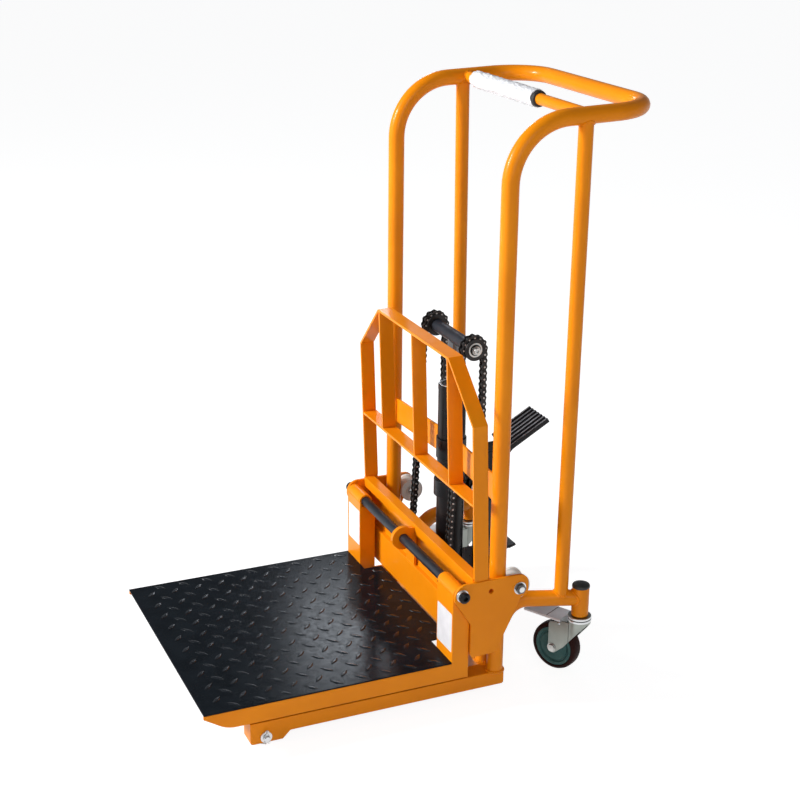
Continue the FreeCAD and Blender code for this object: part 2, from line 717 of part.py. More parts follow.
def build_ram():
    """Piston rod, chain shaft with its spindles, end bolts and the two chain wheels."""
    shaft = cylinder("shaft_bar", "shaft_dia / 2", "2 * shaft_half", "-shaft_half", *WHEEL_AXIS, TO_X)
    ends = "wheel_x + wheel_half + spindle_end"
    spindle = cylinder("shaft_spindle", "spindle_dia / 2", f"2 * ({ends})", f"-({ends})", *WHEEL_AXIS, TO_X)
    rod = cylinder("rod_bar", "rod_dia / 2", "shaft_z - rod_low", 0, "cyl_y", "rod_low")
    piston = cylinder("rod_piston", "cyl_dia / 2 - cyl_wall - fit", "piston_height", 0, "cyl_y", "rod_low")
    node("piston_rod", cut("piston_rod", fuse("piston_rod", rod, piston), shaft))
    node("chain_shaft", fuse("chain_shaft", shaft, spindle))
    face = f"{ends} + end_washer"
    bolts = []
    for side, sign in SIDES.items():
        washer = cross_rod("end_washer_" + side, sign, ends, face, "spindle_dia / 2 + spindle_end",
                           *WHEEL_AXIS)
        head = cross_rod("end_head_" + side, sign, face, f"{face} + end_head", "end_head_radius",
                         *WHEEL_AXIS)
        bolts.append(fuse("end_bolt_" + side, washer, head))
    node("shaft_end_bolts", group("shaft_end_bolts", bolts))
    for side, sign in SIDES.items():
        low, high = "wheel_x - wheel_half", "wheel_x + wheel_half"
        disc = cross_rod("wheel_disc_" + side, sign, low, high, "wheel_flange", *WHEEL_AXIS)
        groove = cross_rod("wheel_ring_" + side, sign, "wheel_x - chain_width / 2 - chain_gap",
                           "wheel_x + chain_width / 2 + chain_gap", "wheel_flange + 1", *WHEEL_AXIS)
        hub = cross_rod("wheel_hub_" + side, sign, low, high, "wheel_groove", *WHEEL_AXIS)
        bore = cross_rod("wheel_bore_" + side, sign, low, high, "spindle_dia / 2 + fit", *WHEEL_AXIS)
        recess = cross_rod("wheel_recess_" + side, sign, f"{high} - wheel_dish_depth", high, "wheel_dish",
                           *WHEEL_AXIS)
        rim = fuse("wheel_rim_" + side, cut("wheel_" + side, disc, groove), hub)
        node("chain_wheel_" + side, cut("wheel_bored_" + side, rim, bore, recess))


def chain_run(name, x, top, bottom):
    """A straight stretch of roller chain: link waists with a round boss at every pin."""
    top_y, top_z = (number(text) for text in top)
    low_y, low_z = (number(text) for text in bottom)
    length = math.dist((top_y, top_z), (low_y, low_z))
    pins = int(length // DIMS["chain_pitch"])
    body = doc.addObject("PartDesign::Body", name + "_body")
    corners = [("-waist_half", "0"), ("waist_half", "0"), ("waist_half", str(length)),
               ("-waist_half", str(length))]
    strip = polygon(body, "YZ_Plane", corners, name)
    strip.setExpression("AttachmentOffset.Base.z", expr("-chain_width / 2"))
    waist = body.newObject("PartDesign::Pad", name + "_waist")
    waist.Profile = strip
    bind(waist, Length="chain_width")
    disc = body.newObject("Sketcher::SketchObject", name + "_disc")
    disc.AttachmentSupport = (origin_plane(body, "YZ_Plane"), [""])
    disc.MapMode = "FlatFace"
    disc.setExpression("AttachmentOffset.Base.z", expr("-chain_width / 2"))
    first = DIMS["chain_pitch"] / 2
    radius = DIMS["plate_half"]
    disc.addGeometry(Part.Circle(FreeCAD.Vector(0, first, 0), FreeCAD.Vector(0, 0, 1), radius), False)
    disc.addConstraint(Sketcher.Constraint("PointOnObject", 0, 3, -2))
    height = disc.addConstraint(Sketcher.Constraint("DistanceY", -1, 1, 0, 3, first))
    disc.setExpression(f"Constraints[{height}]", expr("chain_pitch / 2"))
    size = disc.addConstraint(Sketcher.Constraint("Radius", 0, radius))
    disc.setExpression(f"Constraints[{size}]", expr("plate_half"))
    boss = body.newObject("PartDesign::Pad", name + "_boss")
    boss.Profile = disc
    bind(boss, Length="chain_width")
    row = body.newObject("PartDesign::LinearPattern", name + "_row")
    row.Originals = [boss]
    row.Direction = (disc, ["V_Axis"])
    row.Occurrences = pins
    bind(row, Length=f"chain_pitch * {pins - 1}")
    body.Tip = row
    lean = math.degrees(math.atan2(low_y - top_y, top_z - low_z))
    turn = FreeCAD.Rotation(FreeCAD.Vector(1, 0, 0), lean)
    return place(body, x, bottom[0], bottom[1], turn)


def build_chains():
    """Each chain in three parts: front run to the carriage, wrap over the wheel, rear run to the base."""
    fronts, wraps, rears, anchors = [], [], [], []
    front_top = ("cyl_y - chain_radius", "shaft_z - chain_gap")
    rear_top = ("cyl_y + chain_radius", "shaft_z - chain_gap")
    for side, sign in SIDES.items():
        x = f"{sign} * wheel_x"
        start = f"{x} - chain_width / 2"
        hub = cylinder("wrap_hub_" + side, "wheel_groove + chain_gap", "chain_width", start,
                       *WHEEL_AXIS, TO_X)
        front = chain_run("front_run_" + side, x, front_top, ("front_anchor_y", "front_anchor_z"))
        rear = chain_run("rear_run_" + side, x, rear_top, ("cyl_y + chain_radius", "rear_anchor_z"))
        fronts.append(cut("front_trim_" + side, front, hub))
        rears.append(cut("rear_trim_" + side, rear, hub))
        wraps.append(chain_wrap(side, start, hub))
        anchors.append(box("anchor_" + side, start, "web_rear", "front_anchor_z - anchor_height",
                           "chain_width", "front_anchor_y + plate_half - web_rear",
                           "anchor_height - chain_gap"))
    node("chain_front_runs", group("chain_front_runs", fronts))
    node("chain_wraps", group("chain_wraps", wraps))
    node("chain_rear_runs", group("chain_rear_runs", rears))
    node("chain_carriage_anchors", group("chain_carriage_anchors", anchors))


def chain_wrap(side, start, hub):
    """The half turn of chain over one wheel."""
    band = cylinder("wrap_band_" + side, "chain_radius + waist_half", "chain_width", start,
                    *WHEEL_AXIS, TO_X)
    pins = 6
    bosses = []
    for index in range(1, pins):
        angle = math.pi * index / pins
        bosses.append(cylinder(f"wrap_boss_{side}_{index}", "plate_half", "chain_width", start,
                               f"cyl_y + chain_radius * {math.cos(angle):.6f}",
                               f"shaft_z + chain_radius * {math.sin(angle):.6f}", TO_X))
    below = box("wrap_below_" + side, start, "cyl_y - 2 * chain_radius", "shaft_z - 2 * chain_radius",
                "chain_width", "4 * chain_radius", "2 * chain_radius")
    return cut("wrap_" + side, fuse("wrap_" + side, band, *bosses), hub, below)


def build_carriage_plates():
    """Profiled side plates with the rod hole, the roller hole and one spare hole."""
    outline = [("-101", "plate_top"), ("-101", "227"), ("-66", "172"), ("-66", "102"), ("-11.6", "102.5"),
               ("39.5", "212"), ("55", "214.5"), ("55", "plate_top - 0.7"), ("20", "plate_top")]
    rounds = {0: 25, 1: 14, 2: 8, 3: 7, 4: 16, 5: 4, 6: 15, 7: 20}
    for side, sign in SIDES.items():
        start, depth = span(sign, "cheek_inner", "cheek_inner + cheek_thick")
        plate = padded("cheek_" + side, "YZ_Plane", outline, start, depth, rounds)
        drilled = {"rod": "axle_dia", "upper_roller": "axle_dia", "spare_hole": "spare_hole_dia"}
        holes = [cross_rod(f"cheek_{hole}_{side}", sign, "cheek_inner - 1", "cheek_inner + cheek_thick + 1",
                           f"{diameter} / 2", f"{hole}_y", f"{hole}_z")
                 for hole, diameter in drilled.items()]
        node("carriage_plate_" + side, cut("cheek_drilled_" + side, plate, *holes))


def build_carriage_frame():
    """Top angle, folded beam, strap, rod with its lug and end bolts."""
    width = "2 * cheek_inner"
    inside = ("angle_front + angle_wall", "angle_top - angle_wall")
    outline = [("angle_front", "angle_low"), (inside[0], "angle_low"), inside, ("angle_rear", inside[1]),
               ("angle_rear", "angle_top"), ("angle_front", "angle_top")]
    node("carriage_top_angle", padded("angle", "YZ_Plane", outline, "-cheek_inner", width))
    fold = "beam_top - web_rear + web_front"
    outline = [("beam_front", "beam_low"), ("beam_front + beam_thick", "beam_low"),
               ("beam_front + beam_thick", fold), ("web_rear", fold),
               ("web_rear", "angle_top - angle_wall"), ("web_front", "angle_top - angle_wall"),
               ("web_front", "beam_top"), ("beam_front", "beam_top")]
    node("carriage_beam", padded("beam", "YZ_Plane", outline, "-cheek_inner", width))
    node("beam_strap", box("strap", "strap_x - strap_half", "angle_front + angle_wall", "beam_top",
                           "2 * strap_half", "strap_thick", "angle_top - angle_wall - beam_top"))
    rod = cylinder("rod_round", "fork_rod_dia / 2", width, "-cheek_inner", *ROD_AXIS, TO_X)
    node("fork_rod", rod)
    lug_start = "lug_x - lug_thick / 2"
    lug_radius = "fork_rod_dia / 2 + lug_wall"
    ring = cylinder("lug_ring", lug_radius, "lug_thick", lug_start, *ROD_AXIS, TO_X)
    neck = box("lug_neck", lug_start, *ROD_AXIS, "lug_thick", "angle_front - rod_y", "lug_height")
    behind = box("lug_behind", lug_start, "angle_front", f"rod_z - ({lug_radius})", "lug_thick", lug_radius,
                 f"2 * ({lug_radius})")
    node("rod_lug", cut("lug", fuse("lug", ring, neck), rod, behind))
    bolts = []
    for side, sign in SIDES.items():
        outer = "cheek_inner + cheek_thick"
        shank = cross_rod("rod_shank_" + side, sign, "cheek_inner", outer, "axle_dia / 2", *ROD_AXIS)
        head = cross_rod("rod_head_" + side, sign, outer, f"{outer} + rod_head_height", "rod_head",
                         *ROD_AXIS)
        bolts.append(fuse("rod_bolt_" + side, shank, head))
    node("rod_end_bolts", group("rod_end_bolts", bolts))


def build_backrest():
    """Flat-bar frame that leans forward: bent outer rail, middle row and uprights above it."""
    slant = "bar_thick * 0.41"
    inside = "back_outer - bar_thick"
    foot = ("0", "back_foot_y", "back_foot_z")
    lean = FreeCAD.Rotation(FreeCAD.Vector(1, 0, 0), DIMS["back_lean"])
    right_outer = [("back_outer", "0"), ("back_outer", "back_shoulder"), ("back_shoulder_x", "back_height")]
    right_inner = [(inside, "0"), (inside, f"back_shoulder - {slant}"),
                   (f"back_shoulder_x - {slant}", "back_height - bar_thick")]
    outline = (right_outer + [(f"-({x})", z) for x, z in reversed(right_outer)]
               + [(f"-({x})", z) for x, z in right_inner] + list(reversed(right_inner)))
    rail = place(padded("rail", "XZ_Plane", outline, "-bar_depth", "bar_depth"), *foot, lean)
    plates = box("rail_plates", "-2 * back_outer", "angle_front - bar_depth", "beam_low", "4 * back_outer",
                 "3 * bar_depth", "plate_top - beam_low")
    angle = box("rail_angle", "-cheek_inner", "angle_front - bar_depth", "beam_low", "2 * cheek_inner",
                "3 * bar_depth", "angle_top - beam_low")
    node("backrest_rail", cut("rail_trimmed", rail, plates, angle))
    half = "bar_thick / 2"
    bars = [local_box("row", f"-({inside})", "0", f"back_mid - {half}", f"2 * ({inside})", "bar_depth",
                      "bar_thick")]
    bars += [local_box(f"upright_{index}", f"{index} * back_bar_x - {half}", "0", f"back_mid + {half}",
                       "bar_thick", "bar_depth", f"back_height - bar_thick - back_mid - {half}")
             for index in (-1, 0, 1)]
    node("backrest_bars", place(fuse("backrest_bars", *bars), *foot, lean))


def build_guide_rollers():
    """Waisted nylon rollers that run on the posts: upper pair behind, lower pair in front."""
    bolts = []
    middle = "post_x"
    for level, sense in (("upper", 1), ("lower", -1)):
        y, z, radius, width = (f"{level}_roller_{what}" for what in ("y", "z", "radius", "width"))
        for side, sign in SIDES.items():
            name = f"{level}_{side}"
            low, high = f"{middle} - {width} / 2", f"{middle} + {width} / 2"
            blank = cross_rod("guide_blank_" + name, sign, low, high, radius, y, z)
            bore = cross_rod("guide_bore_" + name, sign, low, high, "axle_dia / 2 + fit", y, z)
            waist = doc.addObject("Part::Torus", "guide_waist_" + name)
            bind(waist, Radius1=f"{sense} * {y}", Radius2="tube_dia / 2 + guide_gap")
            place(waist, f"{sign} * post_x", y, z, TO_X)
            node("guide_roller_" + name, cut("guide_" + name, blank, waist, bore))
            outer = "cheek_inner + cheek_thick" if level == "upper" else "cheek_inner"
            shank = cross_rod("guide_shank_" + name, sign, f"{low} - guide_play", outer, "axle_dia / 2",
                              y, z)
            head = cross_rod("guide_head_" + name, sign, f"{low} - guide_play - guide_head",
                             f"{low} - guide_play", "guide_head_radius", y, z)
            collar = cross_rod("guide_collar_" + name, sign, f"{high} + guide_play", "cheek_inner",
                               "guide_head_radius", y, z)
            pieces = [shank, head, collar]
            if level == "upper":
                pieces.append(cross_rod("guide_nut_" + name, sign, outer, f"{outer} + bolt_head",
                                        "guide_nut_radius", y, z))
            bolts.append(fuse("guide_bolt_" + name, *pieces))
    node("guide_roller_bolts", group("guide_roller_bolts", bolts))


def build_platform():
    """Checker plate, the two fork sides with their uprights and sleeves, stiffeners under the plate."""
    under = "deck_top - deck_thick"
    outline = [("-deck_half", "deck_front"), ("deck_half", "deck_front"), ("deck_half", "upright_front"),
               ("tongue_half", "upright_front"), ("tongue_half", "beam_front - tongue_gap"),
               ("-tongue_half", "beam_front - tongue_gap"), ("-tongue_half", "upright_front"),
               ("-deck_half", "upright_front")]
    node("platform_plate", padded("deck", "XY_Plane", outline, under, "deck_thick"))
    for side, sign in SIDES.items():
        start, depth = span(sign, "deck_half - rail_thick", "deck_half")
        outline = [("deck_front", under), ("deck_front", "rail_nose_z"), ("rail_nose_y", "rail_low"),
                   ("upright_rear", "rail_low"), ("upright_rear", "rod_z"), ("upright_front", "rod_z"),
                   ("upright_front", under)]
        web = padded("fork_" + side, "YZ_Plane", outline, start, depth, {2: 60, 4: 10, 5: 16})
        face = side_box("fork_face_" + side, sign, "upright_inner", "deck_half", "upright_front",
                        "rail_low", "rail_thick", "rod_z - rail_low")
        flange = side_box("fork_flange_" + side, sign, "upright_inner", "upright_inner + rail_thick",
                          "upright_front", "rail_low", "upright_rear - upright_front",
                          "rod_z - fork_rod_dia / 2 - rail_low")
        sleeve = cross_rod("fork_sleeve_" + side, sign, f"sleeve_inner_{side}", "deck_half",
                           "fork_sleeve_dia / 2", *ROD_AXIS)
        bore = cross_rod("fork_bore_" + side, sign, "0", "deck_half + 1",
                         "fork_rod_dia / 2 + fit", *ROD_AXIS)
        space = box("fork_deck_space_" + side, "-deck_half", "deck_front", under, "2 * deck_half",
                    "upright_front - deck_front", "deck_thick")
        weldment = fuse("fork_" + side, web, face, flange, sleeve)
        node("fork_side_" + side, cut("fork_done_" + side, weldment, bore, space))
    ribs = [box(f"stiffener_{index}", "-deck_half + rail_thick", y, "stiffener_low",
                "2 * (deck_half - rail_thick)", "rail_thick", f"{under} - stiffener_low")
            for index, y in enumerate(("deck_front + 60", "-420", "-260"))]
    node("platform_stiffeners", group("platform_stiffeners", ribs))


def swivelled(name, obj, side):
    """Stand a caster piece under its sleeve, turned to its resting direction."""
    sign = SIDES[side]
    obj.Placement = FreeCAD.Placement(FreeCAD.Vector(), FreeCAD.Rotation(FreeCAD.Vector(0, 0, 1), 1))
    bind(obj, **{"Placement.Base.x": f"{sign} * post_x", "Placement.Base.y": "mast_y + sleeve_y",
                 "Placement.Rotation.Angle": f"caster_turn_{side}"})
    return node(name, obj)


def local_box(name, x, y, z, length, width, height):
    """A box in a caster's own frame."""
    return box(name, x, f"({y}) - mast_y", z, length, width, height)


def local_rod(name, radius, y, length, x, z):
    """A round bar across a caster, along its own Y axis."""
    return cylinder(name, radius, length, x, f"({y}) - mast_y", z, TO_Y)


def local_drill(name, diameter, axis):
    """A round hole right across a caster."""
    return local_rod(name, f"({diameter}) / 2", "-caster_radius", "2 * caster_radius", *axis)


def caster_outline(name, outline, start, depth, rounds=None):
    """A plate in a caster's own frame, cut to an outline of trail and height."""
    body = padded(name, "XZ_Plane", outline, start, depth, rounds)
    bind(body, **{"Placement.Base.y": "0"})
    return body


def slope_height(x):
    """Height of the fork's sloped lower edge at a distance along the trail."""
    return f"skirt_foot_z + (skirt_foot_x - ({x})) * skirt_slope"


def caster_cheek(name, sign):
    """One flat side of the fork, from under the race to the axle, drilled later for the brake's pin."""
    outline = [("4", "crown_low"), ("28", "crown_low"), ("31", "crown_low - 4"), ("fork_front", "106"),
               ("fork_front", "caster_radius"), ("fork_front - 3", "39"), ("fork_front - 14", "39"),
               ("skirt_foot_x", "skirt_foot_z"), ("4", slope_height("4"))]
    start = "cheek_gap" if sign < 0 else "-cheek_gap - fork_thick"
    return caster_outline(name, outline, start, "fork_thick", {3: 8, 5: 5, 6: 5})


def caster_skirt(side):
    """The fork's rounded back, joining its sides below the race and cut to the same slope."""
    height = "crown_low - skirt_foot_z"
    radius = "race_dia / 2"
    full = cylinder("skirt_full_" + side, radius, height, 0, "-mast_y", "skirt_foot_z")
    bore = cylinder("skirt_bore_" + side, f"{radius} - fork_thick", height, 0, "-mast_y", "skirt_foot_z")
    reach = "race_dia"
    outline = [(f"-{reach}", "skirt_foot_z - 1"), ("skirt_foot_x", "skirt_foot_z - 1"),
               ("skirt_foot_x", "skirt_foot_z"), (f"-{reach}", slope_height(f"-{reach}"))]
    below = caster_outline("skirt_below_" + side, outline, f"-{reach}", f"2 * {reach}")
    front = local_box("skirt_front_" + side, "skirt_end_x", f"-{reach}", "skirt_foot_z", reach,
                      f"2 * {reach}", height)
    return cut("skirt_" + side, full, bore, below, front)


def caster_fork(side):
    """Pressed fork with its rounded back, race and stem, drilled for the axle and the brake's pin."""
    cheeks = [caster_cheek(f"cheek_{face}_{side}", sign) for face, sign in (("far", -1), ("near", 1))]
    race = cylinder("race_" + side, "race_dia / 2", "race_top - crown_low", 0, "-mast_y", "crown_low")
    stem = cylinder("stem_" + side, "stem_dia / 2", "sleeve_top - stem_gap - race_top", 0, "-mast_y",
                    "race_top")
    hole = local_drill("fork_hole_" + side, "axle_dia", CASTER_AXLE)
    pin_hole = local_drill("pin_hole_" + side, "brake_pin_dia", BRAKE_AXIS)
    fork = fuse("caster_fork_" + side, *cheeks, caster_skirt(side), race, stem)
    return cut("fork_drilled_" + side, fork, hole, pin_hole)


def caster_axle(side):
    """Axle bolt with a head and a nut outside the fork."""
    outside = "cheek_gap + fork_thick"
    shank = local_rod("bolt_shank_" + side, "axle_dia / 2", f"-({outside})", f"2 * ({outside})",
                      *CASTER_AXLE)
    ends = {"head": f"-({outside}) - nut_thick", "nut": outside}
    heads = [local_rod(f"bolt_{end}_{side}", "nut_radius", y, "nut_thick", *CASTER_AXLE)
             for end, y in ends.items()]
    return fuse("caster_axle_" + side, shank, *heads)


def caster_wheel(side):
    """Wheel with a recess round its hub on both faces."""
    half = "caster_width / 2"
    disc = local_rod("wheel_full_" + side, "caster_radius", f"-{half}", "caster_width", *CASTER_AXLE)
    hollows = []
    for face, y in (("far", f"-{half}"), ("near", f"{half} - web_recess")):
        ring = local_rod(f"hollow_{face}_{side}", "caster_radius - rim_depth", y, "web_recess",
                         *CASTER_AXLE)
        boss = local_rod(f"boss_{face}_{side}", "hub_dia / 2", y, "web_recess", *CASTER_AXLE)
        hollows.append(cut(f"hollow_ring_{face}_{side}", ring, boss))
    bore = local_drill("caster_bore_" + side, "axle_dia + 2 * fit", CASTER_AXLE)
    return cut("caster_bored_" + side, disc, *hollows, bore)


def caster_brake(side):
    """Brake pedal: tread over the wheel, hinge block with the shoe's face, and the pin it turns on."""
    tread = local_box("brake_tread_" + side, "brake_start", "-brake_half", "brake_low",
                      "brake_reach - brake_start", "2 * brake_half", "brake_thick")
    hinge = local_box("brake_hinge_" + side, "brake_start", "-hinge_half", "hinge_low",
                      "hinge_front - brake_start", "2 * hinge_half", "brake_low - hinge_low")
    pin = local_rod("brake_pin_" + side, "brake_pin_dia / 2 - fit", "-cheek_gap - fork_thick",
                    "2 * (cheek_gap + fork_thick)", *BRAKE_AXIS)
    return fuse("caster_brake_" + side, tread, hinge, pin)


def build_casters():
    """Swivel casters: fork with stem and race, axle bolt, wheel and brake pedal."""
    for side in SIDES:
        for build_piece in (caster_fork, caster_axle, caster_wheel, caster_brake):
            swivelled(f"{build_piece.__name__}_{side}", build_piece(side), side)


for build in (build_mast, build_grip, build_legs, build_base, build_cylinder, build_pump, build_pump_pedal,
              build_release_pedal, build_ram, build_chains, build_carriage_plates, build_carriage_frame,
              build_backrest, build_guide_rollers, build_platform, build_casters):
    build()
doc.recompute()

faults = [item.Name for item in doc.Objects if "Invalid" in item.State or "Error" in item.State]
for piece in nodes:
    if piece.Shape.isNull() or not piece.Shape.isValid() or not piece.Shape.Solids:
        faults.append(piece.Label)
if faults:
    raise RuntimeError("pieces that did not build: " + ", ".join(faults))

os.makedirs("parts", exist_ok=True)
for piece in nodes:
    piece.Shape.exportStep(f"parts/{piece.Label}.step")
print(len(nodes), "pieces")
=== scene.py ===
import json
from math import cos, pi, radians, sin, sqrt

import bmesh
import bpy
from mathutils import Matrix, Vector, noise

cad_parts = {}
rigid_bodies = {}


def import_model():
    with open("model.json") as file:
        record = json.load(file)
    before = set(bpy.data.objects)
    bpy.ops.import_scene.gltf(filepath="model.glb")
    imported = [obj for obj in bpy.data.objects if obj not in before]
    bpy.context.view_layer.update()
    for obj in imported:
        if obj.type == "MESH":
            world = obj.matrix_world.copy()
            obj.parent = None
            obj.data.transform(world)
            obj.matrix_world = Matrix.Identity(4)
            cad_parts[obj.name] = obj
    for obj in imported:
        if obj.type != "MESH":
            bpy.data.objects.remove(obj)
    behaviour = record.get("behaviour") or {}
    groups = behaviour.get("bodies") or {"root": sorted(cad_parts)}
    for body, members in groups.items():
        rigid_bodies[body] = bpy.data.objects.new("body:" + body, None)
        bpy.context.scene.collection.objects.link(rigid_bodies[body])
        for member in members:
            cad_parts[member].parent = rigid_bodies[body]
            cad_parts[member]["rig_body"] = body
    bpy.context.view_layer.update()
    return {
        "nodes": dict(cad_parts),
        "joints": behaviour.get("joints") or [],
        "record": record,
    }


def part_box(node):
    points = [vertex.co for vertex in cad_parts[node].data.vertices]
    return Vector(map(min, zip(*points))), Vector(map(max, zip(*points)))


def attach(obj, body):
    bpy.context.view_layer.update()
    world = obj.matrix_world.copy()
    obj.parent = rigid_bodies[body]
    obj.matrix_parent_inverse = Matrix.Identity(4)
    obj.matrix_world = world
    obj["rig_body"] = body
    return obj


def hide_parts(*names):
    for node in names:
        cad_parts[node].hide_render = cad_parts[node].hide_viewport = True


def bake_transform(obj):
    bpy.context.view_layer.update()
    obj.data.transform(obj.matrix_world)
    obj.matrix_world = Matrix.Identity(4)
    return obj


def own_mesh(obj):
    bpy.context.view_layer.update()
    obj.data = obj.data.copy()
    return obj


# Hand pallet stacker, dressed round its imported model.
# Metres. +X is right, the fork points to -Y, +Z is up, the floor is z = 0.

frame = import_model()
NODES = frame["nodes"]
JOINTS = {joint["name"]: joint for joint in frame["joints"]}
SLOT_OF = {part["node"]: part["material_slot"] for part in frame["record"]["subparts"]}
SIDES = {"left": -1, "right": 1}
ALONG_X = Vector((1, 0, 0))
ALONG_Y = Vector((0, 1, 0))
ALONG_Z = Vector((0, 0, 1))

# Places read from the imported model, with the tube radius and the arms' front height given
TUBE_R = 0.016
mast_low, mast_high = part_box("mast_handle_tube")
POST_X = mast_high.x - TUBE_R
MAST_Y = mast_low.y + TUBE_R
LEG_TOP = mast_low.z
ARM_FRONT_Z = 1.115
ARM_REAR_Z = mast_high.z - TUBE_R
REAR_BAR_Y = mast_high.y - TUBE_R - MAST_Y


def joint_place(name):
    return Vector(JOINTS[name]["pos_m"])


def joint_axis(name):
    return Vector(JOINTS[name]["axis"])


def at(x, y, z):
    """A point whose y is counted from the plane of the front posts."""
    return Vector((x, MAST_Y + y, z))


ROD = joint_place("platform_tilt")
SHAFT = joint_place("chain_wheel_right_turn")
WHEEL_X = SHAFT.x


# Mesh tools

def flat_sided(angle, sides):
    """How far a regular polygon reaches at an angle, against its corners."""
    half = pi / sides
    return cos(half) / cos(angle % (2 * half) - half)


def lathe(bm, profile, origin, axis, material=0, segments=48, ring=False):
    """Turn a profile about an axis; a point is (distance along, radius) and may add a count of flat sides."""
    turn = Matrix.Translation(origin) @ Vector(axis).to_track_quat("Z", "Y").to_matrix().to_4x4()
    rings = []
    for along, radius, *sides in profile:
        if radius == 0:
            rings.append([bm.verts.new(turn @ Vector((0, 0, along)))])
            continue
        circle = []
        for index in range(segments):
            angle = 2 * pi * index / segments
            reach = radius * flat_sided(angle, sides[0]) if sides else radius
            circle.append(bm.verts.new(turn @ Vector((reach * cos(angle), reach * sin(angle), along))))
        rings.append(circle)
    following = rings[1:] + (rings[:1] if ring else [])
    for near, far in zip(rings, following):
        for index in range(segments):
            after = index + 1
            corners = [near[index % len(near)], near[after % len(near)],
                       far[after % len(far)], far[index % len(far)]]
            face = bm.faces.new(list(dict.fromkeys(corners)))
            face.material_index = material


def eased(profile, size, ring=False):
    """Round the corners of a profile of (distance, radius) points."""
    nearly_straight, most, cut = radians(160), 0.4, 0.25
    points = [Vector(point) for point in profile]
    result = []
    for index, point in enumerate(points):
        before = points[index - 1] - point
        after = points[(index + 1) % len(points)] - point
        is_end = index in (0, len(points) - 1) and not ring
        if is_end or before.angle(after) > nearly_straight:
            result.append(tuple(point))
            continue
        into = before.normalized() * min(size, before.length * most)
        out = after.normalized() * min(size, after.length * most)
        result += [tuple(point + into), tuple(point + (into + out) * cut), tuple(point + out)]
    return result


def disc(bm, origin, axis, radius, height, round_size=0.0006):
    """A short round piece with eased rims, standing on origin along axis."""
    profile = [(0, 0), (0, radius), (height, radius), (height, 0)]
    lathe(bm, eased(profile, round_size), origin, axis)


def washer(bm, origin, axis, inner, outer, height, round_size=0.0004, material=0, segments=48):
    profile = [(0, inner), (0, outer), (height, outer), (height, inner)]
    lathe(bm, eased(profile, round_size, ring=True), origin, axis, material, segments, ring=True)


def hexagon(bm, origin, axis, corner, height, material=0):
    """A hexagon head or nut with its turned chamfers."""
    sides, segments = 6, 36
    flat = corner * cos(pi / sides)
    chamfer = 0.12 * height
    seat_r, face_r = flat * 0.97, flat * 0.95
    profile = [(0, 0), (0, seat_r), (chamfer, corner, sides), (height - chamfer, corner, sides),
               (height, face_r), (height, 0)]
    lathe(bm, profile, origin, axis, material, segments)


def socket_screw(bm, origin, axis, radius, height, dome=0.0):
    """A round screw head with a hexagon socket in its face."""
    sides, segments = 6, 36
    key = radius * 0.5
    floor = height - height * 0.55
    seat_r, rim_r, dome_r, mouth_r = radius * 0.97, radius * 0.94, radius * 0.78, key * 1.2
    chamfer, rim_ease, dome_share = 0.12 * height, 0.0006, 0.3
    profile = [(0, 0), (0, seat_r), (chamfer, radius), (height - dome - rim_ease, radius),
               (height - dome, rim_r), (height - dome_share * dome, dome_r), (height, mouth_r),
               (height, key, sides), (floor, key, sides), (floor, 0)]
    lathe(bm, profile, origin, axis, 0, segments)


def pipe(bm, points, radius, segments=8, closed=False):
    """A round bar along points; radius is one size or a list with one for each point."""
    count = len(points)
    sizes = radius if isinstance(radius, list) else [radius] * count
    normal = (points[1] - points[0]).orthogonal()
    rings = []
    for index, point in enumerate(points):
        before = points[index - 1] if closed or index else point
        after = points[(index + 1) % count] if closed or index < count - 1 else point
        along = (after - before).normalized()
        normal = (normal - along * normal.dot(along)).normalized()
        side = along.cross(normal)
        angles = [2 * pi * step / segments for step in range(segments)]
        rings.append([bm.verts.new(point + (normal * cos(angle) + side * sin(angle)) * sizes[index])
                      for angle in angles])
    following = rings[1:] + (rings[:1] if closed else [])
    for near, far in zip(rings, following):
        for index in range(segments):
            after = (index + 1) % segments
            bm.faces.new((near[index], near[after], far[after], far[index]))
    if not closed:
        for cap in (rings[0], rings[-1]):
            bm.faces.new(cap)


def prism(bm, outline, place, depth):
    """A plate cut to an outline in its own XY plane and raised along its own Z."""
    low = [bm.verts.new(place @ Vector((u, v, 0))) for u, v in outline]
    high = [bm.verts.new(place @ Vector((u, v, depth))) for u, v in outline]
    bm.faces.new(low[::-1])
    bm.faces.new(high)
    for index in range(len(outline)):
        after = (index + 1) % len(outline)
        bm.faces.new((low[index], low[after], high[after], high[index]))


def stamp(bm, template, matrix):
    """Add a copy of a mesh to a bmesh, moved by a matrix."""
    moved = template.copy()
    moved.transform(matrix)
    bm.from_mesh(moved)
    bpy.data.meshes.remove(moved)


def template_of(bm, name):
    mesh = bpy.data.meshes.new(name)
    bm.to_mesh(mesh)
    bm.free()
    return mesh


def soft_copy(node, width):
    """The mesh of a CAD piece with its sharp edges rounded; a zero width only joins its faces."""
    same_point, same_plane, sharp_angle = 1e-5, radians(1), radians(28)
    bm = bmesh.new()
    bm.from_mesh(NODES[node].data)
    bmesh.ops.remove_doubles(bm, verts=bm.verts, dist=same_point)
    bmesh.ops.dissolve_limit(bm, angle_limit=same_plane, verts=bm.verts, edges=bm.edges)
    if width:
        sharp = [edge for edge in bm.edges if edge.calc_face_angle(0) > sharp_angle]
        bmesh.ops.bevel(bm, geom=sharp, offset=width, offset_type="OFFSET", segments=2, profile=0.5,
                        affect="EDGES", clamp_overlap=False)
    return bm


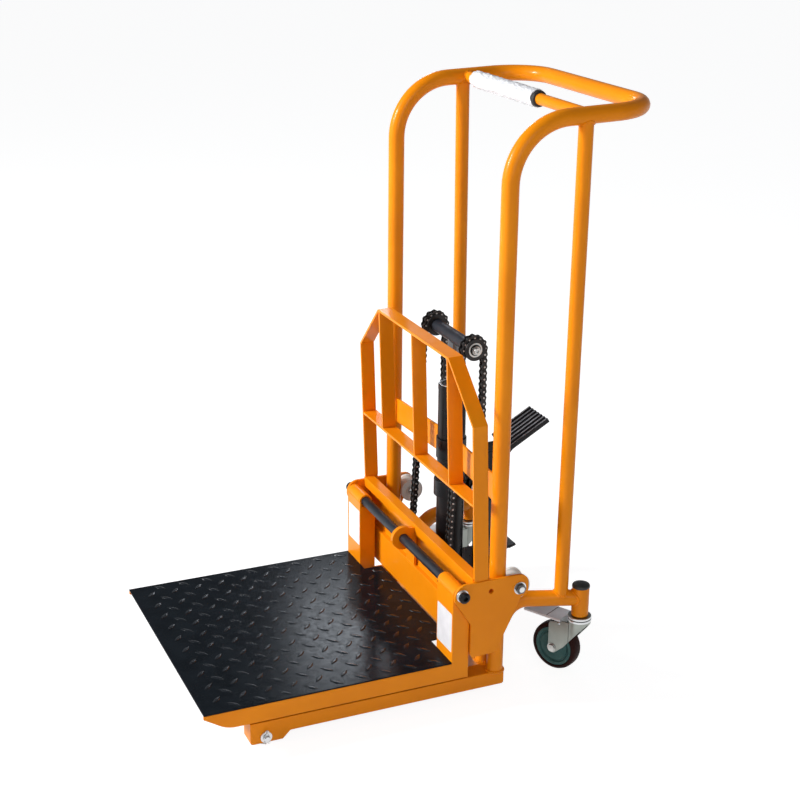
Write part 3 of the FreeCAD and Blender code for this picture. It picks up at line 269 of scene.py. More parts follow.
def piece(name, bm, body, materials, replaced=(), smooth=38):
    """Make a bmesh into a smooth-shaded object with the given finishes, riding on a CAD body when one is
    given.
    """
    bmesh.ops.recalc_face_normals(bm, faces=bm.faces)
    mesh = template_of(bm, name)
    for material in materials:
        mesh.materials.append(material)
    mesh.shade_smooth()
    mesh.set_sharp_from_angle(angle=radians(smooth))
    obj = bpy.data.objects.new(name, mesh)
    bpy.context.scene.collection.objects.link(obj)
    obj.modifiers.new("even_normals", "WEIGHTED_NORMAL").keep_sharp = True
    if body:
        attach(obj, body)
    if replaced:
        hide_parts(*replaced)
    return obj


def softened(node, width):
    """Show a CAD piece with rounded edges in its slot's finish."""
    slot = SLOT_OF[node]
    look = OWN_LOOKS.get(node, LOOKS[slot])
    piece(node + "_form", soft_copy(node, width), NODES[node]["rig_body"], [look], [node])


# Materials

def noise_field(tree, scale, detail, stretch):
    """A noise value over the part's own metres."""
    where = tree.nodes.new("ShaderNodeTexCoord")
    mapping = tree.nodes.new("ShaderNodeMapping")
    mapping.inputs["Scale"].default_value = stretch
    field = tree.nodes.new("ShaderNodeTexNoise")
    field.inputs["Scale"].default_value = scale
    field.inputs["Detail"].default_value = detail
    tree.links.new(where.outputs["Object"], mapping.inputs["Vector"])
    tree.links.new(mapping.outputs["Vector"], field.inputs["Vector"])
    return field.outputs["Fac"]


def shades(tree, field, dark, light):
    """Two colours spread over a field."""
    places = (0.35, 0.65)
    ramp = tree.nodes.new("ShaderNodeValToRGB")
    for stop, place, colour in zip(ramp.color_ramp.elements, places, (dark, light)):
        stop.position = place
        stop.color = (*colour, 1)
    tree.links.new(field, ramp.inputs["Fac"])
    return ramp.outputs["Color"]


def levels(tree, field, low, high):
    """A field's usual spread carried to a range of values."""
    usual_low, usual_high = 0.3, 0.7
    ends = {"From Min": usual_low, "From Max": usual_high, "To Min": low, "To Max": high}
    spread = tree.nodes.new("ShaderNodeMapRange")
    for socket, value in ends.items():
        spread.inputs[socket].default_value = value
    tree.links.new(field, spread.inputs["Value"])
    return spread.outputs["Result"]


def surface(name, dark, light, rough, patch=14.0, grain=420.0, relief=0.00006, stretch=(1, 1, 1), **sockets):
    """A finish with two close shades in patches, uneven gloss and a fine relief."""
    material = bpy.data.materials.new(name)
    material.use_nodes = True
    tree = material.node_tree
    shader = tree.nodes["Principled BSDF"]
    for socket, value in sockets.items():
        shader.inputs[socket.replace("_", " ")].default_value = value
    broad = noise_field(tree, patch, 4.0, stretch)
    fine = noise_field(tree, grain, 2.0, stretch)
    tree.links.new(shades(tree, broad, dark, light), shader.inputs["Base Color"])
    gloss = noise_field(tree, patch * 5, 3.0, stretch)
    tree.links.new(levels(tree, gloss, *rough), shader.inputs["Roughness"])
    bump = tree.nodes.new("ShaderNodeBump")
    bump.inputs["Distance"].default_value = relief
    tree.links.new(fine, bump.inputs["Height"])
    tree.links.new(bump.outputs["Normal"], shader.inputs["Normal"])
    return material


ORANGE = surface("orange_paint", (0.86, 0.252, 0.0025), (0.92, 0.284, 0.0035), (0.30, 0.42), patch=9,
                 grain=330, relief=0.00005, Specular_IOR_Level=0.10, Coat_Weight=0.14, Coat_Roughness=0.12)
PLATE = surface("checker_black", (0.0045, 0.0065, 0.009), (0.0075, 0.0105, 0.014), (0.14, 0.24), patch=22,
                grain=700, relief=0.00005, Specular_IOR_Level=0.06)
RAISED = surface("checker_lugs", (0.006, 0.0085, 0.012), (0.010, 0.013, 0.017), (0.18, 0.28), patch=40,
                 grain=700, relief=0.00004, Specular_IOR_Level=0.4)
ENAMEL = surface("black_enamel", (0.006, 0.006, 0.007), (0.010, 0.010, 0.012), (0.26, 0.40), grain=350,
                 Specular_IOR_Level=0.22)
SATIN = surface("satin_black", (0.010, 0.0125, 0.018), (0.017, 0.021, 0.030), (0.36, 0.50), grain=600,
                Specular_IOR_Level=0.3)
CHAIN = surface("oiled_chain", (0.016, 0.016, 0.017), (0.035, 0.034, 0.034), (0.28, 0.48), patch=60,
                grain=900, Metallic=0.6)
PIN_STEEL = surface("chain_pin_steel", (0.34, 0.33, 0.32), (0.52, 0.51, 0.50), (0.25, 0.4), patch=80,
                    Metallic=1.0)
ZINC = surface("bright_zinc", (0.62, 0.64, 0.65), (0.70, 0.71, 0.72), (0.26, 0.36), patch=16, grain=500,
               relief=0.00003, Metallic=1.0)
# Caster fork zinc: a little greener than the bright zinc, and darkened with painted shade.
PRESSED_ZINC_SHADED = surface("pressed_zinc_painted_shade", (0.25, 0.27, 0.25), (0.34, 0.36, 0.33), (0.28, 0.40), patch=16, grain=500,
                  relief=0.00003, Metallic=1.0)
DARK_STEEL = surface("dark_steel", (0.10, 0.10, 0.10), (0.16, 0.16, 0.155), (0.30, 0.42), patch=40,
                     Metallic=1.0)
STEEL = surface("turned_steel", (0.42, 0.42, 0.41), (0.58, 0.58, 0.56), (0.26, 0.38), patch=45, Metallic=1.0)
GROUND = surface("ground_rod", (0.10, 0.10, 0.105), (0.16, 0.16, 0.165), (0.16, 0.28), patch=30, grain=900,
                 relief=0.00002, stretch=(1, 1, 0.2), Metallic=1.0)
NYLON = surface("off_white_nylon", (0.76, 0.76, 0.71), (0.86, 0.86, 0.82), (0.38, 0.52), patch=40)
TREAD = surface("caster_tread", (0.020, 0.006, 0.005), (0.034, 0.010, 0.008), (0.50, 0.65), patch=50,
                grain=800, Specular_IOR_Level=0.08)
CORE = surface("caster_core", (0.055, 0.135, 0.130), (0.080, 0.175, 0.168), (0.40, 0.54), patch=45, grain=700,
               Specular_IOR_Level=0.12)
RUBBER = surface("grip_rubber", (0.010, 0.010, 0.010), (0.018, 0.018, 0.018), (0.55, 0.72), patch=60,
                 grain=1100, relief=0.0001)
FILM = surface("packing_film", (0.72, 0.73, 0.76), (0.90, 0.90, 0.92), (0.22, 0.40), patch=60, grain=260,
               relief=0.0004, Coat_Weight=0.25, Coat_Roughness=0.15)
MOULDED = surface("moulded_black", (0.016, 0.018, 0.017), (0.028, 0.031, 0.029), (0.48, 0.62), patch=60,
                  grain=1300, relief=0.00012)
LABEL = surface("blank_label", (0.76, 0.74, 0.76), (0.86, 0.84, 0.86), (0.30, 0.42), patch=30, grain=300,
                relief=0.00003)
# Lighter grey for the pedal's rib tops.
RIB_TOP_GREY = surface("lighter_rib_tops", (0.13, 0.135, 0.15), (0.21, 0.215, 0.23), (0.40, 0.60), patch=70, grain=900)
PLATED = surface("pale_plating", (0.70, 0.72, 0.75), (0.82, 0.84, 0.87), (0.30, 0.42), patch=16, grain=500,
                 relief=0.00003, Metallic=0.35)
LOOKS = {"orange_paint": ORANGE, "checker_plate": PLATE, "black_enamel": ENAMEL, "black_chain": CHAIN,
         "zinc_steel": ZINC, "ground_rod": GROUND, "white_nylon": NYLON, "caster_rubber": TREAD,
         "grip_rubber": RUBBER, "wrap_film": FILM, "cap_plastic": MOULDED}
OWN_LOOKS = {"fork_rod": SATIN, "chain_shaft": SATIN, "caster_fork_left": PRESSED_ZINC_SHADED,
             "caster_fork_right": PRESSED_ZINC_SHADED, "caster_brake_left": PLATED, "caster_brake_right": PLATED}


# Frame, carriage and platform pieces that keep their CAD shape

EDGE_ROUNDS = {
    0.0: ["rear_posts", "lower_side_tubes", "grip_bar"],
    0.0004: ["mast_handle_tube", "beam_strap", "chain_carriage_anchors", "platform_stiffeners", "piston_rod",
             "pump_plunger", "fork_rod", "rod_lug"],
    0.0008: ["cylinder_braces", "cylinder_tube", "cylinder_clamp", "pedal_bracket", "release_pedal",
             "carriage_plate_left", "carriage_plate_right", "carriage_top_angle", "backrest_rail",
             "backrest_bars", "caster_fork_left", "caster_fork_right", "caster_brake_left",
             "caster_brake_right", "caster_sleeves", "chain_shaft"],
    0.0012: ["leg_left", "leg_right", "base_crossmember", "pump_block", "carriage_beam", "fork_side_left",
             "fork_side_right"],
}


def dress_solids():
    for width, nodes in EDGE_ROUNDS.items():
        for node in nodes:
            softened(node, width)


# Weld beads

BEAD_R = 0.0022
FOOT_BEAD_R = 0.003
CYLINDER_BEAD_R = 0.0028
BRACE_BEAD_R = 0.0018
BEAD_STEP = 0.0012
BEAD_LIFT = 0.0006
KNEE_BEAD_OUT = 0.0004
CYLINDER_BEAD_LIFT = 0.0005
RIPPLE_SHARE = 0.16
RIPPLE_STEPS = 3.5
UNEVEN_SHARE = 0.1
UNEVEN_SCALE = 300
BRACE_HALF = 0.003
BRACE_END_GAP = 0.003
REAR_POST_R = 0.01375
GRIP_R = 0.011
SLEEVE_R = 0.017
SLEEVE_Y = 0.186
REAR_POST_FOOT = (0.2375, 0.1485, 0.1705)
REAR_POST_TOP = (0.250, 0.146, 1.120)
SIDE_FOOT = (0.205, -0.003, 0.050)
SIDE_KNEE = (0.207, 0.056, 0.1715)
SIDE_END = (0.250, 0.186, 0.1695)


def spaced(points, step, closed):
    """Points at even steps along a line of points."""
    route = points + points[:1] if closed else points
    result = []
    left = 0.0
    for start, end in zip(route, route[1:]):
        length = (end - start).length
        while left < length:
            result.append(start.lerp(end, left / length))
            left += step
        left -= length
    return result


def bead(bm, points, closed=False, radius=BEAD_R):
    """A painted weld with its ripples."""
    line = spaced(points, BEAD_STEP, closed)
    sizes = []
    for index, point in enumerate(line):
        ripple = RIPPLE_SHARE * sin(2 * pi * index / RIPPLE_STEPS)
        uneven = UNEVEN_SHARE * noise.noise(point * UNEVEN_SCALE)
        sizes.append(radius * (1 + ripple + uneven))
    pipe(bm, line, sizes, 6, closed)


def circle(centre, axis, radius, count=72):
    side = axis.orthogonal().normalized()
    other = axis.cross(side)
    angles = [2 * pi * index / count for index in range(count)]
    return [centre + (side * cos(angle) + other * sin(angle)) * radius for angle in angles]


def junction(start, toward, branch_r, main_point, main_axis, main_r):
    """Where a round branch first meets the outside of a round main tube."""
    count = 90
    axis = toward.normalized()
    main = main_axis.normalized()
    slope = axis - main * axis.dot(main)
    points = []
    for rim in circle(start, axis, branch_r, count):
        offset = rim - main_point
        offset -= main * offset.dot(main)
        half = offset.dot(slope)
        inside = half * half - slope.length_squared * (offset.length_squared - main_r * main_r)
        points.append(rim + axis * ((-half - sqrt(max(inside, 0.0))) / slope.length_squared))
    return points


def make_frame_welds():
    """Beads where the frame's tubes meet, at the feet, and round the cylinder and its braces."""
    bm = bmesh.new()
    bar_low, bar_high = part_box("grip_bar")
    grip = (bar_low + bar_high) / 2
    for sign in SIDES.values():
        x = sign * POST_X
        places = (SIDE_FOOT, SIDE_KNEE, SIDE_END, REAR_POST_FOOT, REAR_POST_TOP)
        foot, knee, end, post_foot, post_top = (at(sign * across, y, z) for across, y, z in places)
        arm = at(x, 0, ARM_FRONT_Z)
        arm_axis = at(x, REAR_BAR_Y, ARM_REAR_Z) - arm
        half_way = post_foot.lerp(post_top, 0.5)
        rails = [(half_way, post_foot - post_top, REAR_POST_R, knee, end - knee, TUBE_R),
                 (half_way, post_top - post_foot, REAR_POST_R, arm, arm_axis, TUBE_R),
                 (knee.lerp(end, 0.5), end - knee, TUBE_R, at(x, SLEEVE_Y, 0), ALONG_Z, SLEEVE_R),
                 (grip, ALONG_X * sign, GRIP_R, arm, arm_axis, TUBE_R)]
        for rail in rails:
            bead(bm, junction(*rail), closed=True)
        down = (foot - knee).normalized()
        rims = circle(knee, down, TUBE_R + KNEE_BEAD_OUT)
        level = LEG_TOP + BEAD_LIFT
        bead(bm, [rim + down * ((level - rim.z) / down.z) for rim in rims], closed=True, radius=FOOT_BEAD_R)
        bead(bm, circle(at(x, 0, level), ALONG_Z, TUBE_R + BEAD_LIFT), closed=True, radius=FOOT_BEAD_R)
    low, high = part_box("cylinder_tube")
    base = Vector(((low.x + high.x) / 2, (low.y + high.y) / 2, low.z + CYLINDER_BEAD_LIFT))
    bead(bm, circle(base, ALONG_Z, (high.x - low.x) / 2), closed=True, radius=CYLINDER_BEAD_R)
    brace_low, brace_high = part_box("cylinder_braces")
    ends = (brace_low.z + BRACE_END_GAP, brace_high.z - BRACE_END_GAP)
    for sign in SIDES.values():
        for offset in (-BRACE_HALF, BRACE_HALF):
            x = sign * (POST_X - sqrt(TUBE_R ** 2 - offset ** 2))
            bead(bm, [at(x, offset, z) for z in ends], radius=BRACE_BEAD_R)
    piece("frame_welds", bm, "frame", [ORANGE])


# Checker plate

LUG_GRID = 0.050
LUG_HALF = (0.0145, 0.0046)
LUG_HEIGHT = 0.0014
LUG_RINGS = ((1.0, 1.0, -0.25), (0.93, 0.82, 0.55), (0.8, 0.48, 0.9), (0.6, 0.16, 1.0))
LUG_ROWS = (((0.0, -0.580), 45), ((0.025, -0.505), -45))
LUG_COLUMNS = range(-6, 7)
LUG_LINES = range(-2, 11)
EDGE_MARGIN = 0.012
DECK_HALF = 0.268
DECK_FRONT = -0.592
TONGUE_HALF = 0.171
TONGUE_REAR = -0.0615
UPRIGHT_FRONT = -0.101


def lug_template():
    """One raised lens of the checker plate, as a low closed dome."""
    bm = bmesh.new()
    steps = [index / 5 - 1 for index in range(11)]
    outline = [(step, 1 - step * step) for step in steps] + [(-step, step * step - 1) for step in steps[1:-1]]
    rings = []
    for length, width, height in LUG_RINGS:
        rings.append([bm.verts.new((u * length * LUG_HALF[0], v * width * LUG_HALF[1], height * LUG_HEIGHT))
                      for u, v in outline])
    for near, far in zip(rings, rings[1:]):
        for index in range(len(outline)):
            after = (index + 1) % len(outline)
            bm.faces.new((near[index], near[after], far[after], far[index]))
    bm.faces.new(rings[0][::-1])
    bm.faces.new(rings[-1])
    for face in bm.faces:
        face.material_index = 1
    return template_of(bm, "checker_lug")


def lug_fits(x, y):
    """Whether a lug at this place lies clear of the plate's edges and of the uprights."""
    deck_end = UPRIGHT_FRONT - EDGE_MARGIN
    on_deck = abs(x) < DECK_HALF - EDGE_MARGIN and DECK_FRONT + EDGE_MARGIN < y < deck_end
    on_tongue = abs(x) < TONGUE_HALF - EDGE_MARGIN and deck_end <= y < TONGUE_REAR - EDGE_MARGIN
    return on_deck or on_tongue


def make_checker_plate():
    bm = soft_copy("platform_plate", 0.0006)
    lug = lug_template()
    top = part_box("platform_plate")[1].z
    for (first_x, first_y), angle in LUG_ROWS:
        for column in LUG_COLUMNS:
            for row in LUG_LINES:
                x, y = first_x + column * LUG_GRID, first_y + row * LUG_GRID
                if lug_fits(x, y):
                    turn = Matrix.Rotation(radians(angle), 4, "Z")
                    stamp(bm, lug, Matrix.Translation(at(x, y, top)) @ turn)
    bpy.data.meshes.remove(lug)
    piece("platform_plate_form", bm, "platform", [PLATE, RAISED], ["platform_plate"],
          smooth=50)


# Roller chains

CHAIN_PITCH = 0.0127
CHAIN_R = 0.0225
PLATE_R = 0.0059
PLATE_WAIST = 0.0042
FRONT_ANCHOR = (-0.027, 0.228)
REAR_ANCHOR_Z = 0.074
WRAP_LINKS = 6


def plate_outline():
    """Waisted outline of a chain's side plate, one pitch between its round ends."""
    half = CHAIN_PITCH / 2
    first, sweep, steps = -32, 244, 8
    turns = [radians(first + sweep * step / steps) for step in range(steps + 1)]
    top = [(PLATE_R * cos(turn), half + PLATE_R * sin(turn)) for turn in turns]
    return top + [(-PLATE_WAIST, 0)] + [(-u, -v) for u, v in top] + [(PLATE_WAIST, 0)]


def link_template(outer):
    """One link: outer plates with their pins, or inner plates with their rollers."""
    bm = bmesh.new()
    inside, thick = (0.0056, 0.0014) if outer else (0.0041, 0.0013)
    pin_tip, pin_r, pin_face_r, pin_ease = 0.0080, 0.0021, 0.0014, 0.0005
    roller_half, roller_r, roller_bore_r = 0.0039, 0.0042, 0.0024
    across = Matrix(((0, 0, 1, 0), (1, 0, 0, 0), (0, 1, 0, 0), (0, 0, 0, 1)))
    for start in (inside, -inside - thick):
        prism(bm, plate_outline(), Matrix.Translation((start, 0, 0)) @ across, thick)
    for end in (-0.5, 0.5):
        place = Vector((0, 0, end * CHAIN_PITCH))
        if outer:
            pin = [(-pin_tip, 0), (-pin_tip, pin_face_r), (-pin_tip + pin_ease, pin_r),
                   (pin_tip - pin_ease, pin_r), (pin_tip, pin_face_r), (pin_tip, 0)]
            lathe(bm, pin, place, ALONG_X, 1, 12)
        else:
            roller = [(-roller_half, roller_bore_r), (-roller_half, roller_r), (roller_half, roller_r),
                      (roller_half, roller_bore_r)]
            lathe(bm, roller, place, ALONG_X, 0, 14, ring=True)
    return template_of(bm, "outer_link" if outer else "inner_link")


def add_links(bm, pins, templates, first):
    """Links between pins, outer and inner in turn."""
    for index, (start, end) in enumerate(zip(pins, pins[1:])):
        along = (end - start).normalized()
        out = along.cross(ALONG_X)
        middle = (start + end) / 2
        stretch = (end - start).length / CHAIN_PITCH
        columns = (ALONG_X, out, along * stretch, middle)
        rows = [[column[axis] for column in columns] for axis in range(3)]
        stamp(bm, templates[(index + first) % 2], Matrix((*rows, (0, 0, 0, 1))))


def run_pins(top, bottom):
    """Pin places from the top of a straight run to its bottom."""
    count = round((top - bottom).length / CHAIN_PITCH)
    return [top.lerp(bottom, index / count) for index in range(count + 1)]


def make_chains():
    templates = [link_template(True), link_template(False)]
    fronts, wraps, rears = bmesh.new(), bmesh.new(), bmesh.new()
    for sign in SIDES.values():
        hub = Vector((sign * WHEEL_X, SHAFT.y, SHAFT.z))
        front_top = hub - ALONG_Y * CHAIN_R
        rear_top = hub + ALONG_Y * CHAIN_R
        add_links(fronts, run_pins(front_top, at(hub.x, *FRONT_ANCHOR)), templates, 1)
        add_links(rears, run_pins(rear_top, Vector((hub.x, rear_top.y, REAR_ANCHOR_Z))), templates, 0)
        turns = [pi - pi * index / WRAP_LINKS for index in range(WRAP_LINKS + 1)]
        arc = [hub + Vector((0, cos(turn), sin(turn))) * CHAIN_R for turn in turns]
        add_links(wraps, arc, templates, 0)
    looks = [CHAIN, PIN_STEEL]
    front = piece("chain_front_links", fronts, "carriage", looks, ["chain_front_runs"])
    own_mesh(front)
    piece("chain_wrap_links", wraps, "ram", looks, ["chain_wraps"])
    rear = piece("chain_rear_links", rears, None, looks, ["chain_rear_runs"])
    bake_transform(rear)
    for template in templates:
        bpy.data.meshes.remove(template)


def make_chain_wheels():
    """Grooved wheels with their bearings, and the socket screws that hold them on the shaft."""
    screws = bmesh.new()
    for side, sign in SIDES.items():
        bm = bmesh.new()
        axis = ALONG_X * sign
        hub = Vector((sign * WHEEL_X, SHAFT.y, SHAFT.z))
        half, groove_half, seat_floor = 0.0106, 0.0084, 0.0088
        rim, groove_shade, seat, bore = 0.022, 0.0179, 0.0145, 0.0081
        profile = [(-half, bore), (-half, rim), (-groove_half, rim), (-groove_half, groove_shade),
                   (groove_half, groove_shade), (groove_half, rim), (half, rim), (half, seat), (seat_floor, seat),
                   (seat_floor, bore)]
        lathe(bm, eased(profile, 0.0007, ring=True), hub, axis, 0, ring=True)
        face = hub + axis * seat_floor
        outer_race, shield = (0.0112, 0.0143, 0.0022), (0.0083, 0.0111, 0.0009)
        washer(bm, face, axis, *outer_race, material=1)
        washer(bm, face, axis, *shield, material=2)
        piece(f"chain_wheel_{side}_form", bm, f"chain_wheel_{side}", [CHAIN, STEEL, MOULDED],
              [f"chain_wheel_{side}"])
        screw_reach, washer_thick = 0.007, 0.0016
        seat_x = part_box("shaft_end_bolts")[1].x - screw_reach
        end = Vector((sign * seat_x, SHAFT.y, SHAFT.z))
        washer(screws, end, axis, 0.002, 0.0086, washer_thick)
        socket_screw(screws, end + axis * washer_thick, axis, 0.0068, 0.0052)
    piece("shaft_end_screws", screws, "ram", [STEEL], ["shaft_end_bolts"])


# Bolts, pins and rollers

def make_rod_screws():
    """Black button screws with a bright washer at each end of the fork rod."""
    bm = bmesh.new()
    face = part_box("carriage_plate_right")[1].x
    bore, wide, narrow = 0.004, 0.0124, 0.0104
    wide_end, narrow_end = 0.0026, 0.0060
    for sign in SIDES.values():
        axis = ALONG_X * sign
        seat = Vector((sign * face, ROD.y, ROD.z))
        washer(bm, seat, axis, bore, wide, wide_end, material=1)
        washer(bm, seat + axis * wide_end, axis, bore, narrow, narrow_end - wide_end, material=1)
        socket_screw(bm, seat + axis * narrow_end, axis, 0.0108, 0.0098, dome=0.0022)
    piece("rod_end_screws", bm, "carriage", [ENAMEL, ZINC], ["rod_end_bolts"])


def make_guide_rollers():
    """Waisted nylon rollers with their bolts, washers and nuts."""
    bolts = bmesh.new()
    gap, steps = 0.0003, 36
    bore, groove_in, groove_out, groove_deep, groove_ease = 0.0061, 0.0125, 0.0145, 0.0015, 0.0003
    bolt_r, thread_r, head_reach, head_thick = 0.0059, 0.0058, 0.006, 0.0052
    washer_thick, nut_end = 0.0018, 0.0075
    for level, radius, half in (("upper", 0.025, 0.018), ("lower", 0.020, 0.015)):
        for side, sign in SIDES.items():
            hub = joint_place(f"guide_roller_{level}_{side}_spin")
            axis = ALONG_X * sign
            reach = abs(hub.y - MAST_Y)
            stations = [half * (2 * step / steps - 1) for step in range(steps + 1)]
            waist = [(x, min(radius, reach - sqrt(max((TUBE_R + gap) ** 2 - x * x, 0.0)))) for x in stations]
            floor = half - groove_deep
            dish = [(half, groove_out), (floor, groove_out - groove_ease), (floor, groove_in + groove_ease),
                    (half, groove_in), (half, bore)]
            profile = [(-along, size) for along, size in reversed(dish)] + waist + dish
            bm = bmesh.new()
            lathe(bm, profile, hub, axis, 0, 64, ring=True)
            name = f"guide_roller_{level}_{side}"
            piece(name + "_form", bm, name, [NYLON], [name])
            inner = hub - axis * (half + head_reach)
            hexagon(bolts, inner, axis, 0.0098, head_thick)
            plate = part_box(f"carriage_plate_{side}")
            plate_in, plate_out = sorted(abs(corner.x) for corner in plate)
            disc(bolts, inner, axis, bolt_r, plate_in - abs(inner.x) + 0.001)
            collar = hub + axis * (half + 0.0005)
            washer(bolts, collar, axis, thread_r, 0.009, plate_in - abs(collar.x))
            if level == "upper":
                outside = Vector((sign * plate_out, hub.y, hub.z))
                washer(bolts, outside, axis, 0.0055, 0.0128, washer_thick)
                hexagon(bolts, outside + axis * washer_thick, axis, 0.0106, 0.0062, material=1)
                disc(bolts, outside + axis * nut_end, axis, thread_r, 0.0024, 0.0008)
    piece("guide_roller_fixings", bolts, "carriage", [ZINC, DARK_STEEL], ["guide_roller_bolts"])


def make_leg_rollers():
    """Leg rollers, and their headed axles with washer and split pin."""
    axles = bmesh.new()
    half, tread, bore, groove_deep = 0.015, 0.018, 0.0061, 0.0012
    floor = half - groove_deep
    face = [(half, 0.0155), (floor, 0.0150), (floor, 0.0115), (half, 0.011), (half, bore)]
    roller = [(-along, radius) for along, radius in reversed(face)] + [(-half, tread), (half, tread)] + face
    axle_r, end_r, head_r, head_thick, end_ease = 0.0059, 0.0048, 0.010, 0.005, 0.0012
    washer_thick, pin_out, axle_past = 0.0024, 0.006, 0.0102
    for side, sign in SIDES.items():
        hub = joint_place(f"leg_roller_{side}_spin")
        axis = ALONG_X * sign
        bm = bmesh.new()
        lathe(bm, eased(roller, 0.0008, ring=True), hub, axis, 0, 64, ring=True)
        name = f"leg_roller_{side}"
        piece(name + "_form", bm, name, [NYLON], [name])
        leg_low, leg_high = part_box(f"leg_{side}")
        inner, outer = sorted((abs(leg_low.x), abs(leg_high.x)))
        start = Vector((sign * (inner - head_thick), hub.y, hub.z))
        length = head_thick + outer - inner + axle_past
        axle = [(0, 0), (0, 0.0092), (0.001, head_r), (head_thick, head_r), (head_thick, axle_r),
                (length - end_ease, axle_r), (length, end_r), (length, 0)]
        lathe(axles, axle, start, axis)
        outside = Vector((sign * outer, hub.y, hub.z))
        washer(axles, outside, axis, bore, 0.0112, washer_thick)
        add_split_pin(axles, outside + axis * pin_out)
    piece("leg_axle_fixings", axles, "frame", [ZINC], ["leg_roller_axles"])


def add_split_pin(bm, centre):
    """A split pin through an axle's end: eye on top, legs bent apart below."""
    wire, eye, reach, bend = 0.0011, 0.0030, 0.0100, 0.0035
    apart, knee, tail, sag = wire * 0.8, 0.002, 0.0015, 0.0006
    loop = circle(centre + ALONG_Z * (reach + eye), ALONG_X, eye, 20)
    pipe(bm, loop, wire, 8, closed=True)
    for sense in (-1, 1):
        top = centre + Vector((0, sense * apart, reach))
        turn = centre + Vector((0, sense * apart, knee - reach))
        tip = centre + Vector((0, sense * bend, -reach - tail))
        pipe(bm, [top, turn, turn.lerp(tip, 0.5) - ALONG_Z * sag, tip], wire, 8)


def make_pedal_pin():
    """Pivot pin of the foot pedal, with a domed head and a clip at its end."""
    bm = bmesh.new()
    low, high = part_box("pedal_pivot_pin")
    start = Vector((low.x, (low.y + high.y) / 2, (low.z + high.z) / 2))
    length, radius = high.x - low.x, 0.00495
    head_thick, head_r, groove_r = 0.0042, 0.0078, 0.0041
    groove_start, groove_end = length - 0.004, length - 0.0028
    profile = [(0, 0), (0.0004, 0.0045), (0.0016, 0.0072), (head_thick, head_r), (head_thick, radius),
               (groove_start, radius), (groove_start, groove_r), (groove_end, groove_r),
               (groove_end, radius), (length - 0.0008, radius), (length, 0.004), (length, 0)]
    lathe(bm, profile, start, ALONG_X)
    washer(bm, start + ALONG_X * (groove_start + 0.0001), ALONG_X, 0.0042, 0.0075, 0.0010)
    piece("pedal_pivot_form", bm, "frame", [ZINC], ["pedal_pivot_pin"])


def make_cylinder_head():
    """Gland nut with its wiper, and a bright zinc ring round the rod that is a painted highlight on the
    gland's top edge.
    """
    bm = bmesh.new()
    low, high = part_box("cylinder_gland")
    base = Vector(((low.x + high.x) / 2, (low.y + high.y) / 2, low.z))
    height, radius = high.z - low.z, (high.x - low.x) / 2
    rod_r, chamfer_high, chamfer_wide = 0.0126, 0.0015, 0.0025
    profile = [(0, rod_r), (0, radius), (height - chamfer_high, radius), (height, radius - chamfer_wide),
               (height, rod_r)]
    lathe(bm, eased(profile, 0.0006, ring=True), base, ALONG_Z, 0, 64, ring=True)
    top = base + ALONG_Z * height
    # Zinc ring on the top face: painted highlight of the gland's rim.
    washer(bm, top - ALONG_Z * 0.0006, ALONG_Z, 0.0215, radius - 0.0020, 0.0014, material=1, segments=64)
    washer(bm, top - ALONG_Z * 0.0004, ALONG_Z, rod_r, 0.0175, 0.0024, 0.0009, material=2, segments=64)
    piece("cylinder_gland_form", bm, "frame", [ENAMEL, ZINC, RUBBER], ["cylinder_gland"])


def make_sleeve_caps():
    """Domed plugs on the caster sleeves."""
    bm = bmesh.new()
    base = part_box("sleeve_caps")[0].z
    profile = [(0, 0), (0, 0.0170), (0.0008, 0.0177), (0.0036, 0.0177), (0.0058, 0.0166), (0.0073, 0.0135),
               (0.0081, 0.0080), (0.0083, 0)]
    for sign in SIDES.values():
        lathe(bm, profile, at(sign * POST_X, SLEEVE_Y, base), ALONG_Z, 0, 64)
    piece("sleeve_cap_domes", bm, "frame", [MOULDED], ["sleeve_caps"], smooth=60)


# Grip

grip_low, grip_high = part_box("grip_sleeve")
GRIP_PLACE = ((grip_low.y + grip_high.y) / 2 - MAST_Y, (grip_low.z + grip_high.z) / 2)
LAP_PITCH = 0.047
LAP_HEIGHT = 0.0006
CREASE_HEIGHT = 0.0011
FOLD_HEIGHT = 0.0009
WANDER_HEIGHT = 0.0005
RAGGED_REACH = 0.004


def make_grip_sleeve():
    """Rubber sleeve with rings near its end."""
    length, radius = grip_high.x - grip_low.x, (grip_high.z - grip_low.z) / 2
    bore, count, spacing, end_gap = 0.0111, 6, 0.0085, 0.004
    wide, slope, deep = 0.0032, 0.0006, 0.0009
    profile = [(0, bore), (0, radius)]
    for index in range(count):
        start = length - end_gap - spacing * (count - index)
        profile += [(start, radius), (start + slope, radius - deep), (start + wide - slope, radius - deep),
                    (start + wide, radius)]
    profile += [(length - 0.003, radius), (length - 0.001, radius - 0.0006), (length, radius - 0.0022),
                (length, bore)]
    bm = bmesh.new()
    lathe(bm, profile, at(grip_low.x, *GRIP_PLACE), ALONG_X, 0, 64, ring=True)
    piece("grip_sleeve_form", bm, "frame", [RUBBER], ["grip_sleeve"])


def wrap_radius(x, angle, base):
    """Radius of the wrinkled film round the grip."""
    around = Vector((0, cos(angle), sin(angle)))
    wander = noise.noise(Vector((x * 18, 0, 7)) + around * 0.8)
    crease = 1 - abs(noise.noise(Vector((x * 75 + 2.4 * wander, 0, 0)) + around * 2.1))
    fold = 1 - abs(noise.noise(Vector((x * 30, 0, 31)) + around * 3.4 + ALONG_X * 3 * wander))
    lap = (x / LAP_PITCH + angle / (2 * pi)) % 1
    relief = CREASE_HEIGHT * crease ** 5 + FOLD_HEIGHT * fold ** 6 + WANDER_HEIGHT * wander
    return base + relief + LAP_HEIGHT * lap ** 6


